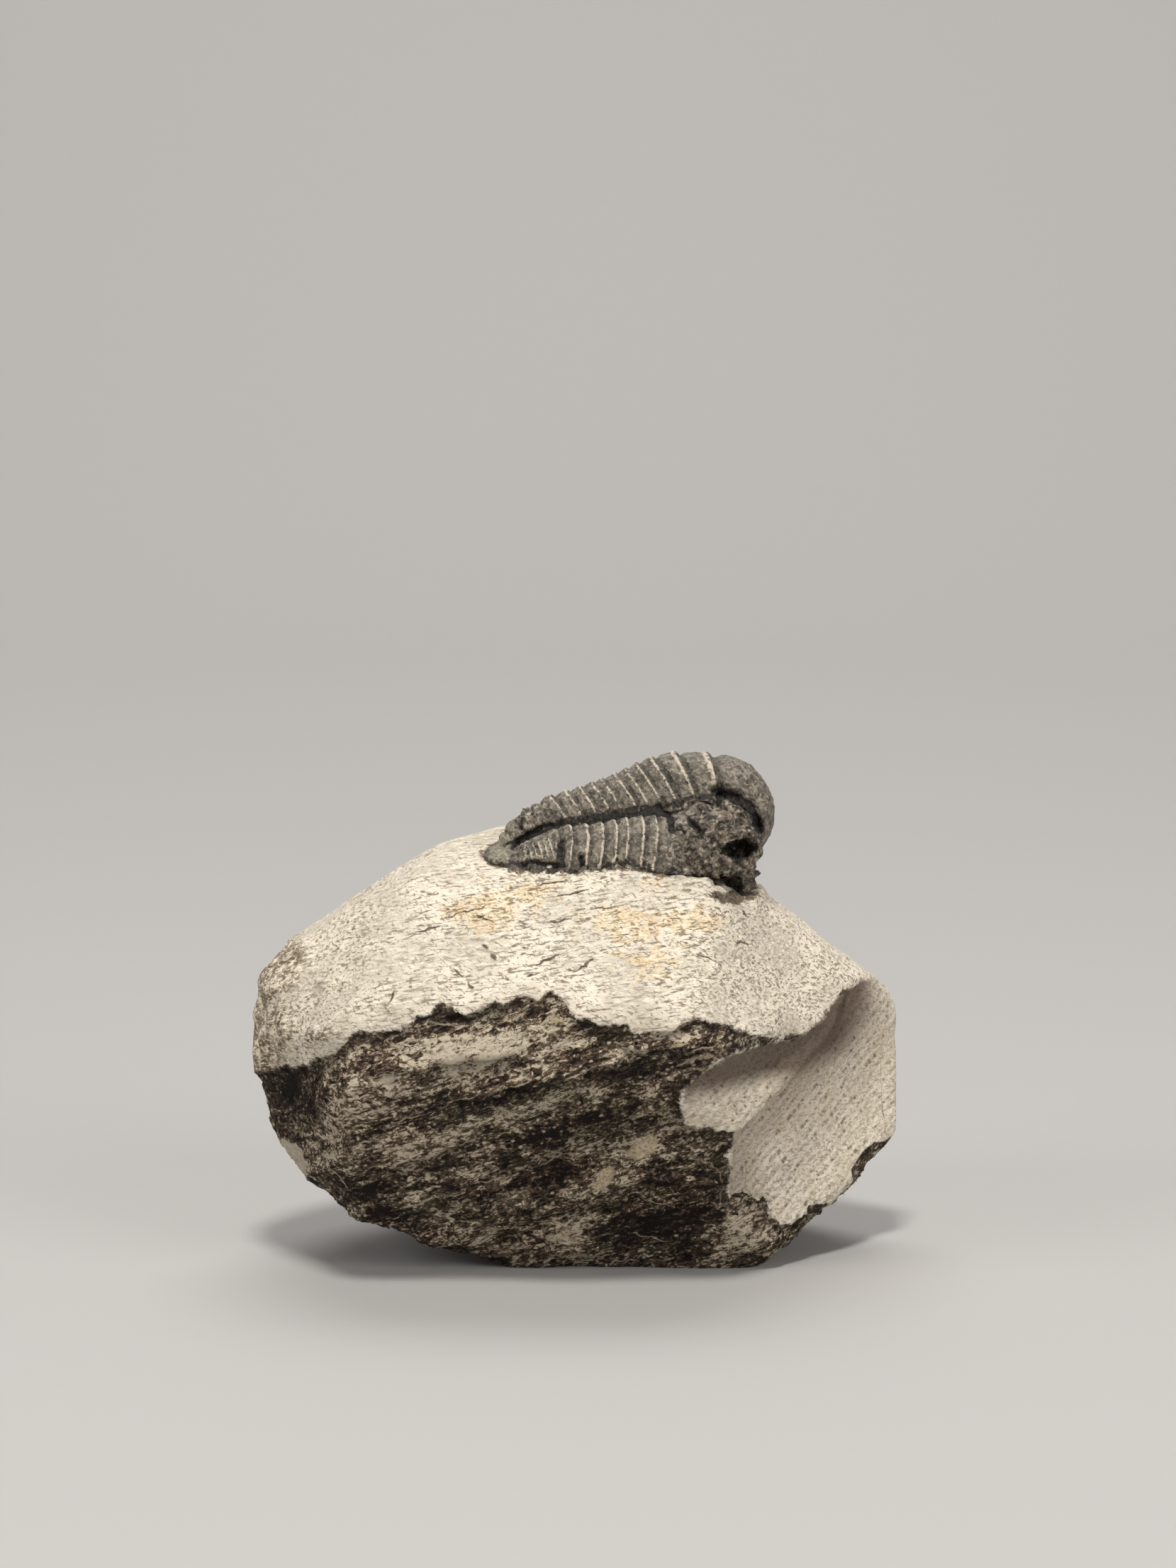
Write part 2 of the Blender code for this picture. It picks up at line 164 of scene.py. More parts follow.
# Patches, each as its middle, half length, half width, tilt and strength
PALE_PATCHES = (
    (-8.6, 19.3, 5.6, 1.2, 12, 0.55), (-1.9, 21.9, 1.6, 1.5, 60, 0.65), (-13.0, 20.3, 2.4, 0.7, 15, 0.35),
    (5.6, 10.5, 2.6, 1.0, 30, 0.95), (2.0, 7.9, 1.7, 0.8, 42, 1.0), (-1.5, 2.9, 2.0, 1.5, 10, 0.65),
    (8.3, 19.4, 1.7, 0.35, 14, 0.75), (11.0, 18.4, 1.6, 0.5, 20, 0.8), (-12.0, 16.4, 3.6, 0.9, 10, 0.35),
    (-13.0, 8.6, 5.0, 0.9, 14, 0.3), (-9.0, 5.0, 4.0, 0.8, 12, 0.35), (14.6, 3.6, 2.0, 1.8, 40, 0.4),
    (-6.5, 1.6, 3.5, 0.6, -5, 0.35), (0.5, 16.2, 4.0, 0.8, 16, 0.3), (-4.5, 11.2, 4.5, 0.8, 18, 0.3),
)
LOWER_LEFT_CHIP = (-25.2, 9.6, 2.3, 1.1, -52, 1.0)
OCHRE_PATCHES = (
    (-8.0, 31.0, 4.8, 2.3, 4, 0.9), (-4.2, 32.4, 3.6, 1.8, 20, 0.75), (8.9, 30.2, 4.4, 1.6, -2, 1.0),
    (4.2, 29.8, 5.2, 1.9, -12, 0.85), (6.0, 27.0, 3.0, 2.4, 0, 0.8), (6.2, 33.2, 2.4, 1.6, -40, 0.7),
    (12.0, 26.2, 2.4, 0.7, -30, 0.45), (14.2, 28.4, 1.1, 0.4, -20, 0.5), (1.0, 28.8, 2.0, 0.7, 10, 0.5),
)
WEATHERED_PATCHES = (
    (-25.6, 26.3, 3.4, 2.6, 50, 0.95), (-26.3, 20.5, 3.2, 2.2, 90, 0.9), (-22.2, 20.4, 3.0, 1.2, 12, 0.7),
    (-21.3, 24.7, 2.4, 0.8, -8, 0.6), (-16.6, 22.6, 1.7, 0.8, -35, 0.65), (-11.5, 29.8, 2.6, 0.9, 15, 0.35),
    (23.6, 24.6, 2.2, 0.9, 20, 0.4),
)
DARK_NOTCH = (-25.6, 15.4, 2.6, 1.7, -60, 1.0)
HEAD_FOOT = (13.0, 32.4, 2.2, 0.62, -6, 1.5)
RIGHT_RIM = ((26.4, 18.0, 3.4, 1.5, 98, 1.0), (27.3, 13.6, 1.6, 1.2, 90, 0.7))

# Slanting rows of small pits on the right face: their tilt, and the pitch of the rows and of the pits in a row
ROW_TILT = 50.0
ROW_PITCH = 0.66
DASH_PITCH = 0.36

# The rise and the dip of the stone at the head's foot, with their heights in mm as strengths
FOOT_RISE = (15.2, 32.4, 0.6, 1.0, 0, 0.65)
FOOT_DIP = (12.7, 32.2, 1.5, 1.2, 0, 0.32)

# How far back, along y, the marks of the front fade out
FRONT_FADES = (3.0, 9.0)

# Added to where points show, at the back, to keep the thin lines of the front off it, and a flute's distance there
OUT_OF_SIGHT = 90.0
NO_FLUTE = 9.0

# Height below which no point of the stone is looked at for nearness to the trilobite
COLLAR_FLOOR = 24.0

# Scratches and small holes in the scribed top: start, end, half width
SCRATCHES = (
    ((-4.7, 26.1), (-1.2, 27.5), 0.12), ((-0.5, 25.7), (1.3, 27.0), 0.14), ((-14.4, 29.2), (-11.8, 29.7), 0.12),
    ((-7.6, 27.2), (-7.3, 26.9), 0.26), ((-8.3, 28.1), (-8.0, 27.9), 0.18), ((-10.9, 26.1), (-10.1, 25.4), 0.14),
    ((-9.6, 24.8), (-9.3, 24.4), 0.16), ((0.6, 31.2), (3.2, 31.4), 0.08), ((-3.0, 30.0), (-0.8, 30.3), 0.09),
    ((-12.0, 30.3), (-7.6, 31.7), 0.08), ((10.2, 27.4), (11.8, 26.6), 0.09), ((-2.4, 32.2), (0.8, 32.9), 0.11),
    ((-9.0, 30.6), (-7.4, 30.2), 0.10), ((-4.2, 33.2), (-0.8, 33.7), 0.09), ((-4.6, 25.4), (-4.2, 25.5), 0.16),
    ((13.9, 31.2), (14.3, 30.6), 0.14), ((13.2, 28.4), (14.6, 28.2), 0.14), ((-16.6, 23.0), (-15.9, 24.2), 0.10),
)

# Turn of the bands of the dark break about x, y and z
BAND_TURN = (0.0, 20.0, 0.0)

# Light hair-thin veins and crests of the dark break: start, end, half width
VEINS = (
    ((-13.8, 18.2), (-9.2, 20.1), 0.07), ((-12.6, 21.4), (-10.4, 21.0), 0.10), ((-15.4, 19.6), (-13.4, 20.2), 0.10),
    ((-11.0, 17.6), (-8.6, 18.6), 0.10), ((-6.0, 21.6), (-4.6, 22.4), 0.14), ((-4.2, 20.6), (-2.2, 22.2), 0.10),
    ((-18.4, 13.6), (-15.6, 14.2), 0.12), ((-16.6, 12.6), (-13.0, 13.8), 0.10), ((-12.4, 14.0), (-8.6, 15.2), 0.10),
    ((-7.4, 15.6), (-4.2, 16.4), 0.09), ((-2.6, 16.0), (1.2, 17.6), 0.09), ((1.6, 18.4), (3.4, 19.0), 0.09),
    ((4.2, 19.2), (5.6, 18.6), 0.10), ((8.4, 17.8), (10.6, 18.6), 0.12), ((9.0, 18.9), (11.4, 19.3), 0.10),
    ((9.2, 11.2), (10.2, 9.8), 0.07), ((10.2, 9.8), (11.8, 9.0), 0.07), ((11.8, 9.0), (12.3, 7.4), 0.08),
    ((12.3, 7.4), (12.0, 5.8), 0.09), ((5.0, 6.4), (8.0, 5.6), 0.06), ((4.2, 3.4), (7.6, 2.6), 0.06),
    ((-19.6, 10.8), (-17.6, 11.6), 0.09), ((-14.2, 9.6), (-10.8, 10.6), 0.09), ((-9.4, 7.6), (-6.0, 8.4), 0.08),
    ((-14.8, 5.6), (-12.0, 6.4), 0.09), ((-9.2, 3.4), (-5.0, 3.8), 0.09), ((-2.0, 1.2), (1.0, 1.6), 0.10),
    ((-21.6, 9.0), (-19.8, 7.0), 0.08), ((-3.4, 9.2), (-0.6, 10.4), 0.08), ((-21.8, 13.2), (-20.6, 11.4), 0.09),
)

# ---------------------------------------------------------------- the trilobite, as in the part

MIDDLE_Y = -0.9
FIRST_GROOVE_X = -5.4
TAIL_RINGS = (0.84,) * 4
THORAX_RINGS = (1.1, 1.4, 1.25, 1.1, 0.95, 1.4, 1.05, 1.15, 1.25, 1.45, 1.75)
GROOVES = FIRST_GROOVE_X + np.concatenate(([0.0], np.cumsum(TAIL_RINGS + THORAX_RINGS)))
RIBS_END = 7.0
RING_RELIEF = 0.46
RIB_RELIEF = 0.40
RING_BOW = 0.5
RIB_BOW = 0.5
FURROW_DEPTH = 0.6
STATIONS = (
    (-8.0, 34.4, -40, -10, 0.30, 0.15, 1.20, 0.8), (-7.6, 34.9, -40, -10, 0.60, 0.40, 2.40, 1.4),
    (-7.1, 35.2, -38, -8, 0.80, 0.45, 3.20, 1.9), (-6.5, 35.5, -38, -6, 0.95, 0.80, 3.70, 2.3),
    (-5.9, 35.8, -36, -4, 1.20, 1.35, 3.80, 2.5), (-4.6, 36.5, -34, -2, 1.60, 1.75, 3.90, 3.0),
    (-3.1, 37.2, -30, 0, 1.95, 2.00, 3.80, 3.4), (-1.7, 37.9, -28, 0, 2.30, 2.05, 3.70, 3.8),
    (1.0, 38.4, -25, 0, 2.70, 2.35, 3.60, 4.2), (4.6, 39.0, -28, 0, 3.10, 3.05, 3.50, 4.6),
    (7.5, 39.2, -28, 0, 3.35, 4.10, 3.30, 4.8), (9.5, 39.8, -22, 0, 3.50, 4.05, 2.60, 5.4),
    (11.6, 40.1, -4, 2, 3.60, 3.45, 2.00, 5.6), (13.2, 39.9, 26, 18, 3.70, 3.00, 1.60, 2.6),
    (14.6, 38.8, 55, 45, 3.50, 2.20, 1.90, 1.9), (15.1, 37.5, 85, 75, 3.00, 1.55, 1.40, 1.4),
    (15.0, 36.3, 110, 100, 2.00, 1.10, 1.00, 1.0), (14.6, 35.6, 130, 120, 0.60, 0.50, 0.40, 0.4),
)
HEAD_END = len(STATIONS) - 1
FLANK_SWEEP = 96.0
BODY_DEPTH = 12.4
HEAD_DEPTH = 2.4
LUMPS = (
    ((-6.2, -0.9, 34.6), (2.3, 4.3, 0.95), 0.1), ((13.2, -5.0, 38.3), (1.9, 1.3, 1.8), 0.15),
    ((13.2, 3.2, 38.3), (1.9, 1.3, 1.8), 0.15), ((10.7, -4.8, 36.1), (4.3, 2.9, 3.5), 0.35),
    ((10.7, 3.0, 36.1), (4.3, 2.9, 3.5), 0.35), ((12.3, -2.4, 33.4), (2.3, 4.2, 3.4), 0.30),
    ((13.1, -1.2, 36.1), (2.1, 3.3, 2.5), 0.2),
)
HOLLOWS = (((13.5, -6.3, 36.0), (1.55, 1.9, 0.80)), ((12.8, -6.7, 32.8), (1.25, 1.9, 1.0)))
LUMP_GRAIN = 1.6
LUMP_FINENESS = 5

# Carving of its near side as seen from the front, repeated on its far side: path, half width and depth
CARVED = (
    (((11.7, 41.2), (12.7, 41.05), (13.6, 40.7), (14.45, 40.0), (15.1, 39.05), (15.4, 38.1)), 0.50, 0.85),
    (((-5.9, 36.5), (-5.0, 37.3), (-4.07, 37.9), (-3.1, 38.3), (-1.73, 38.6)), 0.24, 0.45),
    (((-1.5, 37.0), (-1.7, 36.0), (-1.45, 35.0)), 0.26, 0.45),
    (((-5.2, 35.0), (-4.0, 35.3), (-3.0, 35.0), (-2.0, 34.9)), 0.30, 0.55),
    (((0.15, 35.7), (0.2, 34.4)), 0.22, 0.55),
    (((6.6, 39.9), (7.6, 39.3), (7.9, 38.0)), 0.3, 0.25), (((9.5, 38.6), (10.6, 37.8)), 0.35, 0.3),
)
RAISED = (
    (((12.5, 40.25), (13.6, 39.9), (14.4, 39.0), (14.75, 38.0)), 0.45, 0.40),
    (((12.2, 37.9), (14.9, 37.75)), 0.35, 0.35),
    (((14.9, 36.6), (15.2, 35.4), (14.9, 34.0)), 0.45, 0.25), (((10.2, 40.4), (11.4, 40.6)), 0.4, 0.3),
    (((11.4, 34.1), (13.0, 33.8), (14.8, 34.2)), 0.20, 0.35), (((12.0, 33.2), (13.4, 33.0), (15.0, 33.5)), 0.20, 0.35),
    (((-6.0, 36.9), (-4.6, 38.0), (-3.4, 38.5)), 0.28, 0.30),
)
CHEEK = (
    (7.4, 39.3), (9.5, 40.4), (11.7, 40.9), (12.7, 40.7), (13.6, 40.2), (14.5, 39.4), (15.0, 38.5), (15.2, 37.6),
    (15.8, 36.8), (16.0, 30.0), (8.5, 30.0), (7.0, 36.0),
)
RIBLETS = (-3.1, 36.3, 2.1, 1.0, 12, 1.0)
RIBLET_PITCH = 0.5
RIBLET_HEIGHT = 0.09
TAIL_SIDE = (-4.0, 35.8, 3.4, 1.6, 20, 1.0)
TAIL_AXIS = (-4.7, 38.8, 2.7, 1.3, 42, 1.0)
TAIL_CRAGS = 0.62

# Fineness of its surface: sections along the body, points round one section, and the grid it is recast on
BODY_SECTIONS = 560
FLANK_POINTS = 26
AXIS_POINTS = 28
RECAST = 0.128
SUNK = 0.45


# ---------------------------------------------------------------- common sums


def unit(azimuth, elevation):
    a, e = math.radians(azimuth), math.radians(elevation)
    return np.array((math.cos(a) * math.cos(e), math.sin(a) * math.cos(e), math.sin(e)))


def fractal(points, wavelength, octaves, offset):
    """Fractal noise of about -1 to 1 at each point, whose coarsest lumps are one wavelength apart."""
    shift = Vector((offset, 0.37 * offset, 0.71 * offset))
    return np.array([noise.fractal(Vector(p) / wavelength + shift, 0.9, 2.0, octaves) for p in points])


def smooth_step(value, low, high):
    t = np.clip((value - low) / (high - low), 0.0, 1.0)
    return t * t * (3.0 - 2.0 * t)


def sight_lines():
    """The eye, and the right, up and forward directions of the view, in mm."""
    e = math.radians(EYE_HEIGHT)
    back = np.array((0.0, -math.cos(e), math.sin(e)))
    across, up = np.array((1.0, 0.0, 0.0)), np.array((0.0, math.sin(e), math.cos(e)))
    focal = EYE_DISTANCE / PIXEL
    yaw = math.atan2(AIM_PIXEL[0] - PICTURE[0] / 2, focal)
    pitch = math.atan2(AIM_PIXEL[1] - PICTURE[1] / 2, focal)
    forward = -back * math.cos(pitch) + up * math.sin(pitch)
    forward = forward * math.cos(yaw) - across * math.sin(yaw)
    across = np.cross(forward, (0.0, 0.0, 1.0))
    across /= np.linalg.norm(across)
    return AIM + back * EYE_DISTANCE, across, np.cross(across, forward), forward


def seen(points):
    """Where points in mm show from the front: mm to the right of the middle and mm above the foot."""
    eye, across, up, forward = sight_lines()
    offset = points - eye
    depth = offset @ forward * PIXEL / EYE_DISTANCE
    column = PICTURE[0] / 2 + offset @ across / depth
    row = PICTURE[1] / 2 - offset @ up / depth
    return np.stack(((column - AIM_PIXEL[0]) * PIXEL, (FOOT_PIXEL - row) * PIXEL), axis=1)


def patch_field(places, patches):
    """Height of the patches at each place: their strength in the middle, fading to 0 at their rims."""
    field = np.zeros(len(places))
    for across, up, half_length, half_width, tilt, strength in patches:
        t = math.radians(tilt)
        dx, dy = places[:, 0] - across, places[:, 1] - up
        along = (dx * math.cos(t) + dy * math.sin(t)) / half_length
        aside = (dy * math.cos(t) - dx * math.sin(t)) / half_width
        field = np.maximum(field, strength * np.exp(-(along**2 + aside**2)))
    return field


def distance_to_line(places, start, end):
    """Distance of each place from a straight line between two places."""
    start, end = np.array(start, float), np.array(end, float)
    run = end - start
    share = np.clip((places - start) @ run / (run @ run), 0.0, 1.0)
    return np.linalg.norm(places - start - share[:, None] * run, axis=1)


def distance_to_path(places, path):
    return np.min([distance_to_line(places, start, end) for start, end in zip(path, path[1:])], axis=0)


def side_of_path(places, path):
    """Distance of each place from a path: positive on its right as it runs, negative on its left."""
    nearest, signed = np.full(len(places), np.inf), np.zeros(len(places))
    for start, end in zip(path, path[1:]):
        away = distance_to_line(places, start, end)
        across = (places[:, 0] - start[0]) * (end[1] - start[1]) - (places[:, 1] - start[1]) * (end[0] - start[0])
        signed = np.where(away < nearest, away * np.sign(across), signed)
        nearest = np.minimum(nearest, away)
    return signed


def distance_inside(places, outline):
    """Distance of each place from a closed outline: positive inside it and negative outside."""
    nearest = np.full(len(places), np.inf)
    inside = np.zeros(len(places), bool)
    for start, end in zip(outline, outline[1:] + outline[:1]):
        nearest = np.minimum(nearest, distance_to_line(places, start, end))
        crosses = (start[1] > places[:, 1]) != (end[1] > places[:, 1])
        rise = (end[1] - start[1]) or 1e-9
        reach = start[0] + (places[:, 1] - start[1]) * (end[0] - start[0]) / rise
        inside ^= crosses & (places[:, 0] < reach)
    return np.where(inside, nearest, -nearest)


# ---------------------------------------------------------------- the block


def flute_axes():
    out = unit(*RIGHT_FACE_NORMAL)
    level = np.cross((0.0, 0.0, 1.0), out)
    level /= np.linalg.norm(level)
    up = np.cross(out, level)
    rise = math.radians(FLUTE_RISE)
    along = level * math.cos(rise) + up * math.sin(rise)
    return [(np.array(point) + out * (radius - depth), along, radius) for point, depth, radius in FLUTES]


def distance_to_cylinder(rays, point, along, radius):
    offset = point - STONE_HEART
    across = rays - np.outer(rays @ along, along)
    offset = offset - along * (offset @ along)
    a = np.sum(across * across, axis=1)
    b = across @ offset
    inside = b * b - a * (offset @ offset - radius * radius)
    hits = (inside > 0) & (b > 0)
    reach = (b - np.sqrt(np.where(hits, inside, 0.0))) / a
    return np.where(hits, reach, np.inf)


def broken_share(points):
    x, y, z = points.T
    below_edge = 1.0 - smooth_step(z, *SCRIBED_EDGE)
    left_of_flutes = 1.0 - smooth_step(x + 0.15 * (STONE_HEART[2] - z), 9.5, 13.0)
    front = left_of_flutes * smooth_step(-y, 2.0, 9.0)
    back = smooth_step(y, 2.0, 9.0)
    return below_edge * (front + back)


def stone_surface(rays):
    """Distance in mm from the block's heart to its surface along each ray, as in the part."""
    pull = np.zeros(len(rays))
    for azimuth, elevation, distance in BREAK_FACES:
        pull += (np.clip(rays @ unit(azimuth, elevation), 0.0, None) / distance) ** EDGE_SHARPNESS
    for point, along, radius in flute_axes():
        pull += distance_to_cylinder(rays, point, along, radius) ** -float(EDGE_SHARPNESS)
    reach = pull ** (-1.0 / EDGE_SHARPNESS)
    points = STONE_HEART + rays * reach[:, None]
    slope = math.radians(RIPPLE_SLOPE)
    across = points[:, 2] * math.cos(slope) - points[:, 0] * math.sin(slope)
    wander = RIPPLE_WANDER * fractal(points, 11.0, 2, 4.0)
    ripples = np.sin(2.0 * math.pi * (across + wander) / RIPPLE_PITCH)
    top = smooth_step(points[:, 2], 22.0, 30.0)
    from_hump = (points[:, 0] - HUMP_MIDDLE[0]) ** 2 + (points[:, 1] - HUMP_MIDDLE[1]) ** 2
    reach += broken_share(points) * RIPPLE_DEPTH * ripples
    reach += fractal(points, LUMP_SIZE, 3, 1.0) * (SIDE_LUMPS + (TOP_LUMPS - SIDE_LUMPS) * top)
    reach += top * HUMP_HEIGHT * np.exp(-from_hump / HUMP_SPREAD**2)
    return reach


def block_skin():
    """Rays from the heart through the points of a cube's skin, and its square faces."""
    counts = np.array(STONE_GRID)
    corners = []
    for axis in range(3):
        first, second = (axis + 1) % 3, (axis + 2) % 3
        u, v = np.meshgrid(np.arange(counts[first]), np.arange(counts[second]), indexing="ij")
        for level, steps in ((counts[axis], ((0, 0), (1, 0), (1, 1), (0, 1))), (0, ((0, 0), (0, 1), (1, 1), (1, 0)))):
            square = np.zeros((u.size, 4, 3), int)
            for i, (step_u, step_v) in enumerate(steps):
                square[:, i, axis] = level
                square[:, i, first] = (u + step_u).ravel()
                square[:, i, second] = (v + step_v).ravel()
            corners.append(square)
    corners = np.concatenate(corners)
    places, faces = np.unique(corners.reshape(-1, 3), axis=0, return_inverse=True)
    rays = np.tan((2.0 * places / counts - 1.0) * math.pi / 4.0)
    rays /= np.linalg.norm(rays, axis=1)[:, None]
    rays += FINE_SHARE * np.array(FINE_SIDE) / np.linalg.norm(FINE_SIDE)
    rays /= np.linalg.norm(rays, axis=1)[:, None]
    return rays, faces.reshape(-1, 4)


def new_mesh(name, points, faces):
    """Object from points in mm and faces."""
    mesh = bpy.data.meshes.new(name)
    mesh.from_pydata((points * MM).tolist(), [], faces.tolist())
    mesh.update()
    piece = bpy.data.objects.new(name, mesh)
    bpy.context.scene.collection.objects.link(piece)
    return piece


def mark(piece, name, values):
    """Keeps one number for each point of the piece, for its finish and its relief to read."""
    layer = piece.data.attributes.new(name, "FLOAT", "POINT")
    layer.data.foreach_set("value", np.ascontiguousarray(values, dtype=np.float32))


def front_share(points):
    return 1.0 - smooth_step(points[:, 1], *FRONT_FADES)


def block_marks(points, rays):
    """Distances and strengths of the block's markings at each of its points, in mm and from 0 to 1."""
    places, front = seen(points), front_share(points)
    line, behind = np.array(SCRIBED_LINE), 1.0 - front
    ragged = 0.45 * fractal(points, 1.7, 4, 21.0)
    above_front = (places[:, 1] - np.interp(places[:, 0], line[:, 0], line[:, 1])) * 0.93
    above_back = points[:, 2] - 21.5 - 1.8 * fractal(points, 8.0, 2, 31.0)
    above = above_front * (1.0 - behind) + above_back * behind
    ground_front = distance_inside(places, GROUND_OUTLINE)
    turned = np.degrees(np.arctan2(rays[:, 1], rays[:, 0]))
    ground_back = (24.0 - turned) * 0.35 + 1.2 * fractal(points, 5.0, 2, 33.0)
    right_side = smooth_step(points[:, 0], 10.0, 16.0) * smooth_step(turned, -2.0, 6.0)
    ground = ground_front + (np.minimum(ground_back, points[:, 2] - 9.0) - ground_front) * right_side
    ground = np.where((behind > 0.5) & (points[:, 0] < 12.0), -5.0, ground)
    weathered = np.minimum(-above, -ground) + ragged
    weathered = np.maximum(weathered, 1.6 * (patch_field(places, RIM_CRUST) - 0.5) + ragged - 5.0 * behind)
    return places, {
        "weathered": weathered,
        "ground": np.minimum(ground, -above) + 0.5 * ragged,
        "pale": patch_field(places, PALE_PATCHES) * front + 0.25 * behind * (fractal(points, 6.0, 2, 41.0) > 0.2),
        "ochre": patch_field(places, OCHRE_PATCHES) * front * (points[:, 1] < 2.0),
        "tan": np.maximum(patch_field(places, WEATHERED_PATCHES), 0.8 * smooth_step(-points[:, 0], 23.5, 26.5)),
        "lit": (patch_field(places, LIT_PATCHES) - patch_field(places, GLOOMY_PATCHES)) * front,
        "chip": patch_field(places, (LOWER_LEFT_CHIP,)) * front,
        "notch": patch_field(places, (DARK_NOTCH,)) * front,
        "low_flute": np.where(front > 0.5, side_of_path(places, ARRIS), NO_FLUTE),
        "high_flute": np.where(front > 0.5, side_of_path(places, HIGH_EDGE), NO_FLUTE),
    }


def ledge_relief(places, front):
    """Relief of the ledges in mm, and how deep in shade each point lies below them, from 0 to 1."""
    relief, shade = np.zeros(len(places)), np.zeros(len(places))
    for start, end, height, reach in LEDGES:
        run = np.array(end, float) - np.array(start, float)
        length = np.linalg.norm(run)
        across = np.array((-run[1], run[0])) / length
        offset = places - np.array(start, float)
        along = offset @ run / length**2
        above = offset @ across
        ends = smooth_step(along, 0.0, 0.18) * (1.0 - smooth_step(along, 0.82, 1.0))
        over = smooth_step(above, -0.12, 0.12) * np.exp(-(np.clip(above, 0, None) / (0.8 * reach)) ** 2)
        under = (1.0 - smooth_step(above, -0.12, 0.12)) * np.exp(-(np.clip(-above, 0, None) / reach) ** 2)
        relief += ends * height * (over - under)
        shade = np.maximum(shade, ends * under)
    return relief * front, shade * front


def make_block(collar_tree):
    """The limestone: the part's own shape, with the dark break cut back below the ragged scribed edge.

    The tree finds how near each point is to the trilobite, because the stone is ragged there.
    """
    rays, faces = block_skin()
    reach = stone_surface(rays)
    points = STONE_HEART + rays * reach[:, None]
    places, marks = block_marks(points, rays)
    away = np.array([collar_tree.find(point)[2] if point[2] > COLLAR_FLOOR else 99.0 for point in points])
    collar = np.exp(-((away / 0.8) ** 2))
    front = front_share(points)
    dark = smooth_step(marks["weathered"], -0.10, 0.22)
    wobble = np.stack((0.9 * fractal(points, 4.0, 3, 51.0), 0.7 * fractal(points, 2.6, 3, 52.0)), axis=1)
    ledges, shade = ledge_relief(places + wobble, front)
    reach = reach - dark * 0.40 * (1.0 - 0.6 * np.clip(marks["pale"], 0, 1)) + dark * ledges
    reach -= dark * 0.5 * marks["notch"]
    fluted = smooth_step(marks["ground"], -0.6, 0.6)
    low, high = marks["low_flute"], marks["high_flute"]
    reach += fluted * 0.35 * smooth_step(low, -1.6, 0.0) * (1.0 - smooth_step(low, 0.0, 0.5))
    reach -= fluted * 0.45 * smooth_step(low, 0.0, 0.9) * (1.0 - smooth_step(low, 1.2, 3.6))
    reach -= fluted * 0.45 * smooth_step(high, -0.1, 0.5) * (1.0 - smooth_step(high, 0.9, 2.8))
    left_skin = smooth_step(marks["tan"], 0.3, 0.6) * (1.0 - dark) * smooth_step(-points[:, 0], 19.0, 22.0)
    reach += left_skin * (0.25 + 0.30 * fractal(points, 1.6, 3, 61.0))
    reach += (patch_field(places, (FOOT_RISE,)) - patch_field(places, (FOOT_DIP,))) * front
    right_rim = np.minimum(patch_field(places, RIGHT_RIM), 1.0) * smooth_step(points[:, 0], 22.0, 25.0)
    reach += 0.75 * right_rim * (1.0 - dark)
    reach += collar * (0.05 + 0.45 * fractal(points, 1.0, 4, 62.0)) * smooth_step(points[:, 0], -6.6, -5.4)
    points = STONE_HEART + rays * reach[:, None]
    points[:, 2] = np.maximum(points[:, 2], 0.0)
    block = new_mesh("scribed_limestone", points, faces)
    block.data.shade_smooth()
    marks["shade"] = shade * dark
    marks["collar"] = np.maximum(np.exp(-((away / 0.55) ** 2)), patch_field(places, (HEAD_FOOT,)) * front)
    for name, values in marks.items():
        mark(block, name, values)
    for name, values in zip(("across", "up"), seen(points).T):
        mark(block, name, values + OUT_OF_SIGHT * (1.0 - front))
    mark(block, "broken", dark * smooth_step(points[:, 2], 0.2, 1.2))
    mark(block, "scribed", (1.0 - dark) * (1.0 - smooth_step(marks["ground"], -0.5, 0.5)))
    return block


# ---------------------------------------------------------------- the trilobite


def station_at(place):
    table = np.array(STATIONS)
    i = int(min(max(place, 0.0), len(table) - 1.000001))
    t = place - i
    before = table[max(i - 1, 0)]
    start, end = table[i], table[i + 1]
    after = table[min(i + 2, len(table) - 1)]
    bend = 2.0 * before - 5.0 * start + 4.0 * end - after
    twist = 3.0 * (start - end) + after - before
    return 0.5 * (2.0 * start + (end - before) * t + bend * t * t + twist * t**3)


def ring_profile(turn):
    """Height from 0 to 1 of one ring over one turn from its groove at the tail side: body, thin lip and drop."""
    turn = turn % 1.0
    body = 0.62 * smooth_step(turn, 0.0, 0.22) + 0.10 * smooth_step(turn, 0.2, 0.7)
    lip = 0.34 * np.exp(-(((turn - 0.80) / 0.085) ** 2))
    drop = 1.0 - smooth_step(turn, 0.86, 0.98)
    return (body + lip) * drop


def rings_before(x):
    return np.interp(x, GROOVES, np.arange(len(GROOVES)))


def relief_share(x, tail_share, end):
    waist = GROOVES[len(TAIL_RINGS)]
    tail = tail_share * smooth_step(x, GROOVES[0] - 0.2, GROOVES[0] + 0.5)
    thorax = (1.0 - tail_share) * smooth_step(x, waist - 0.3, waist + 0.1)
    return (tail + thorax) * (1.0 - smooth_step(x, end - 0.05, end + 0.3))


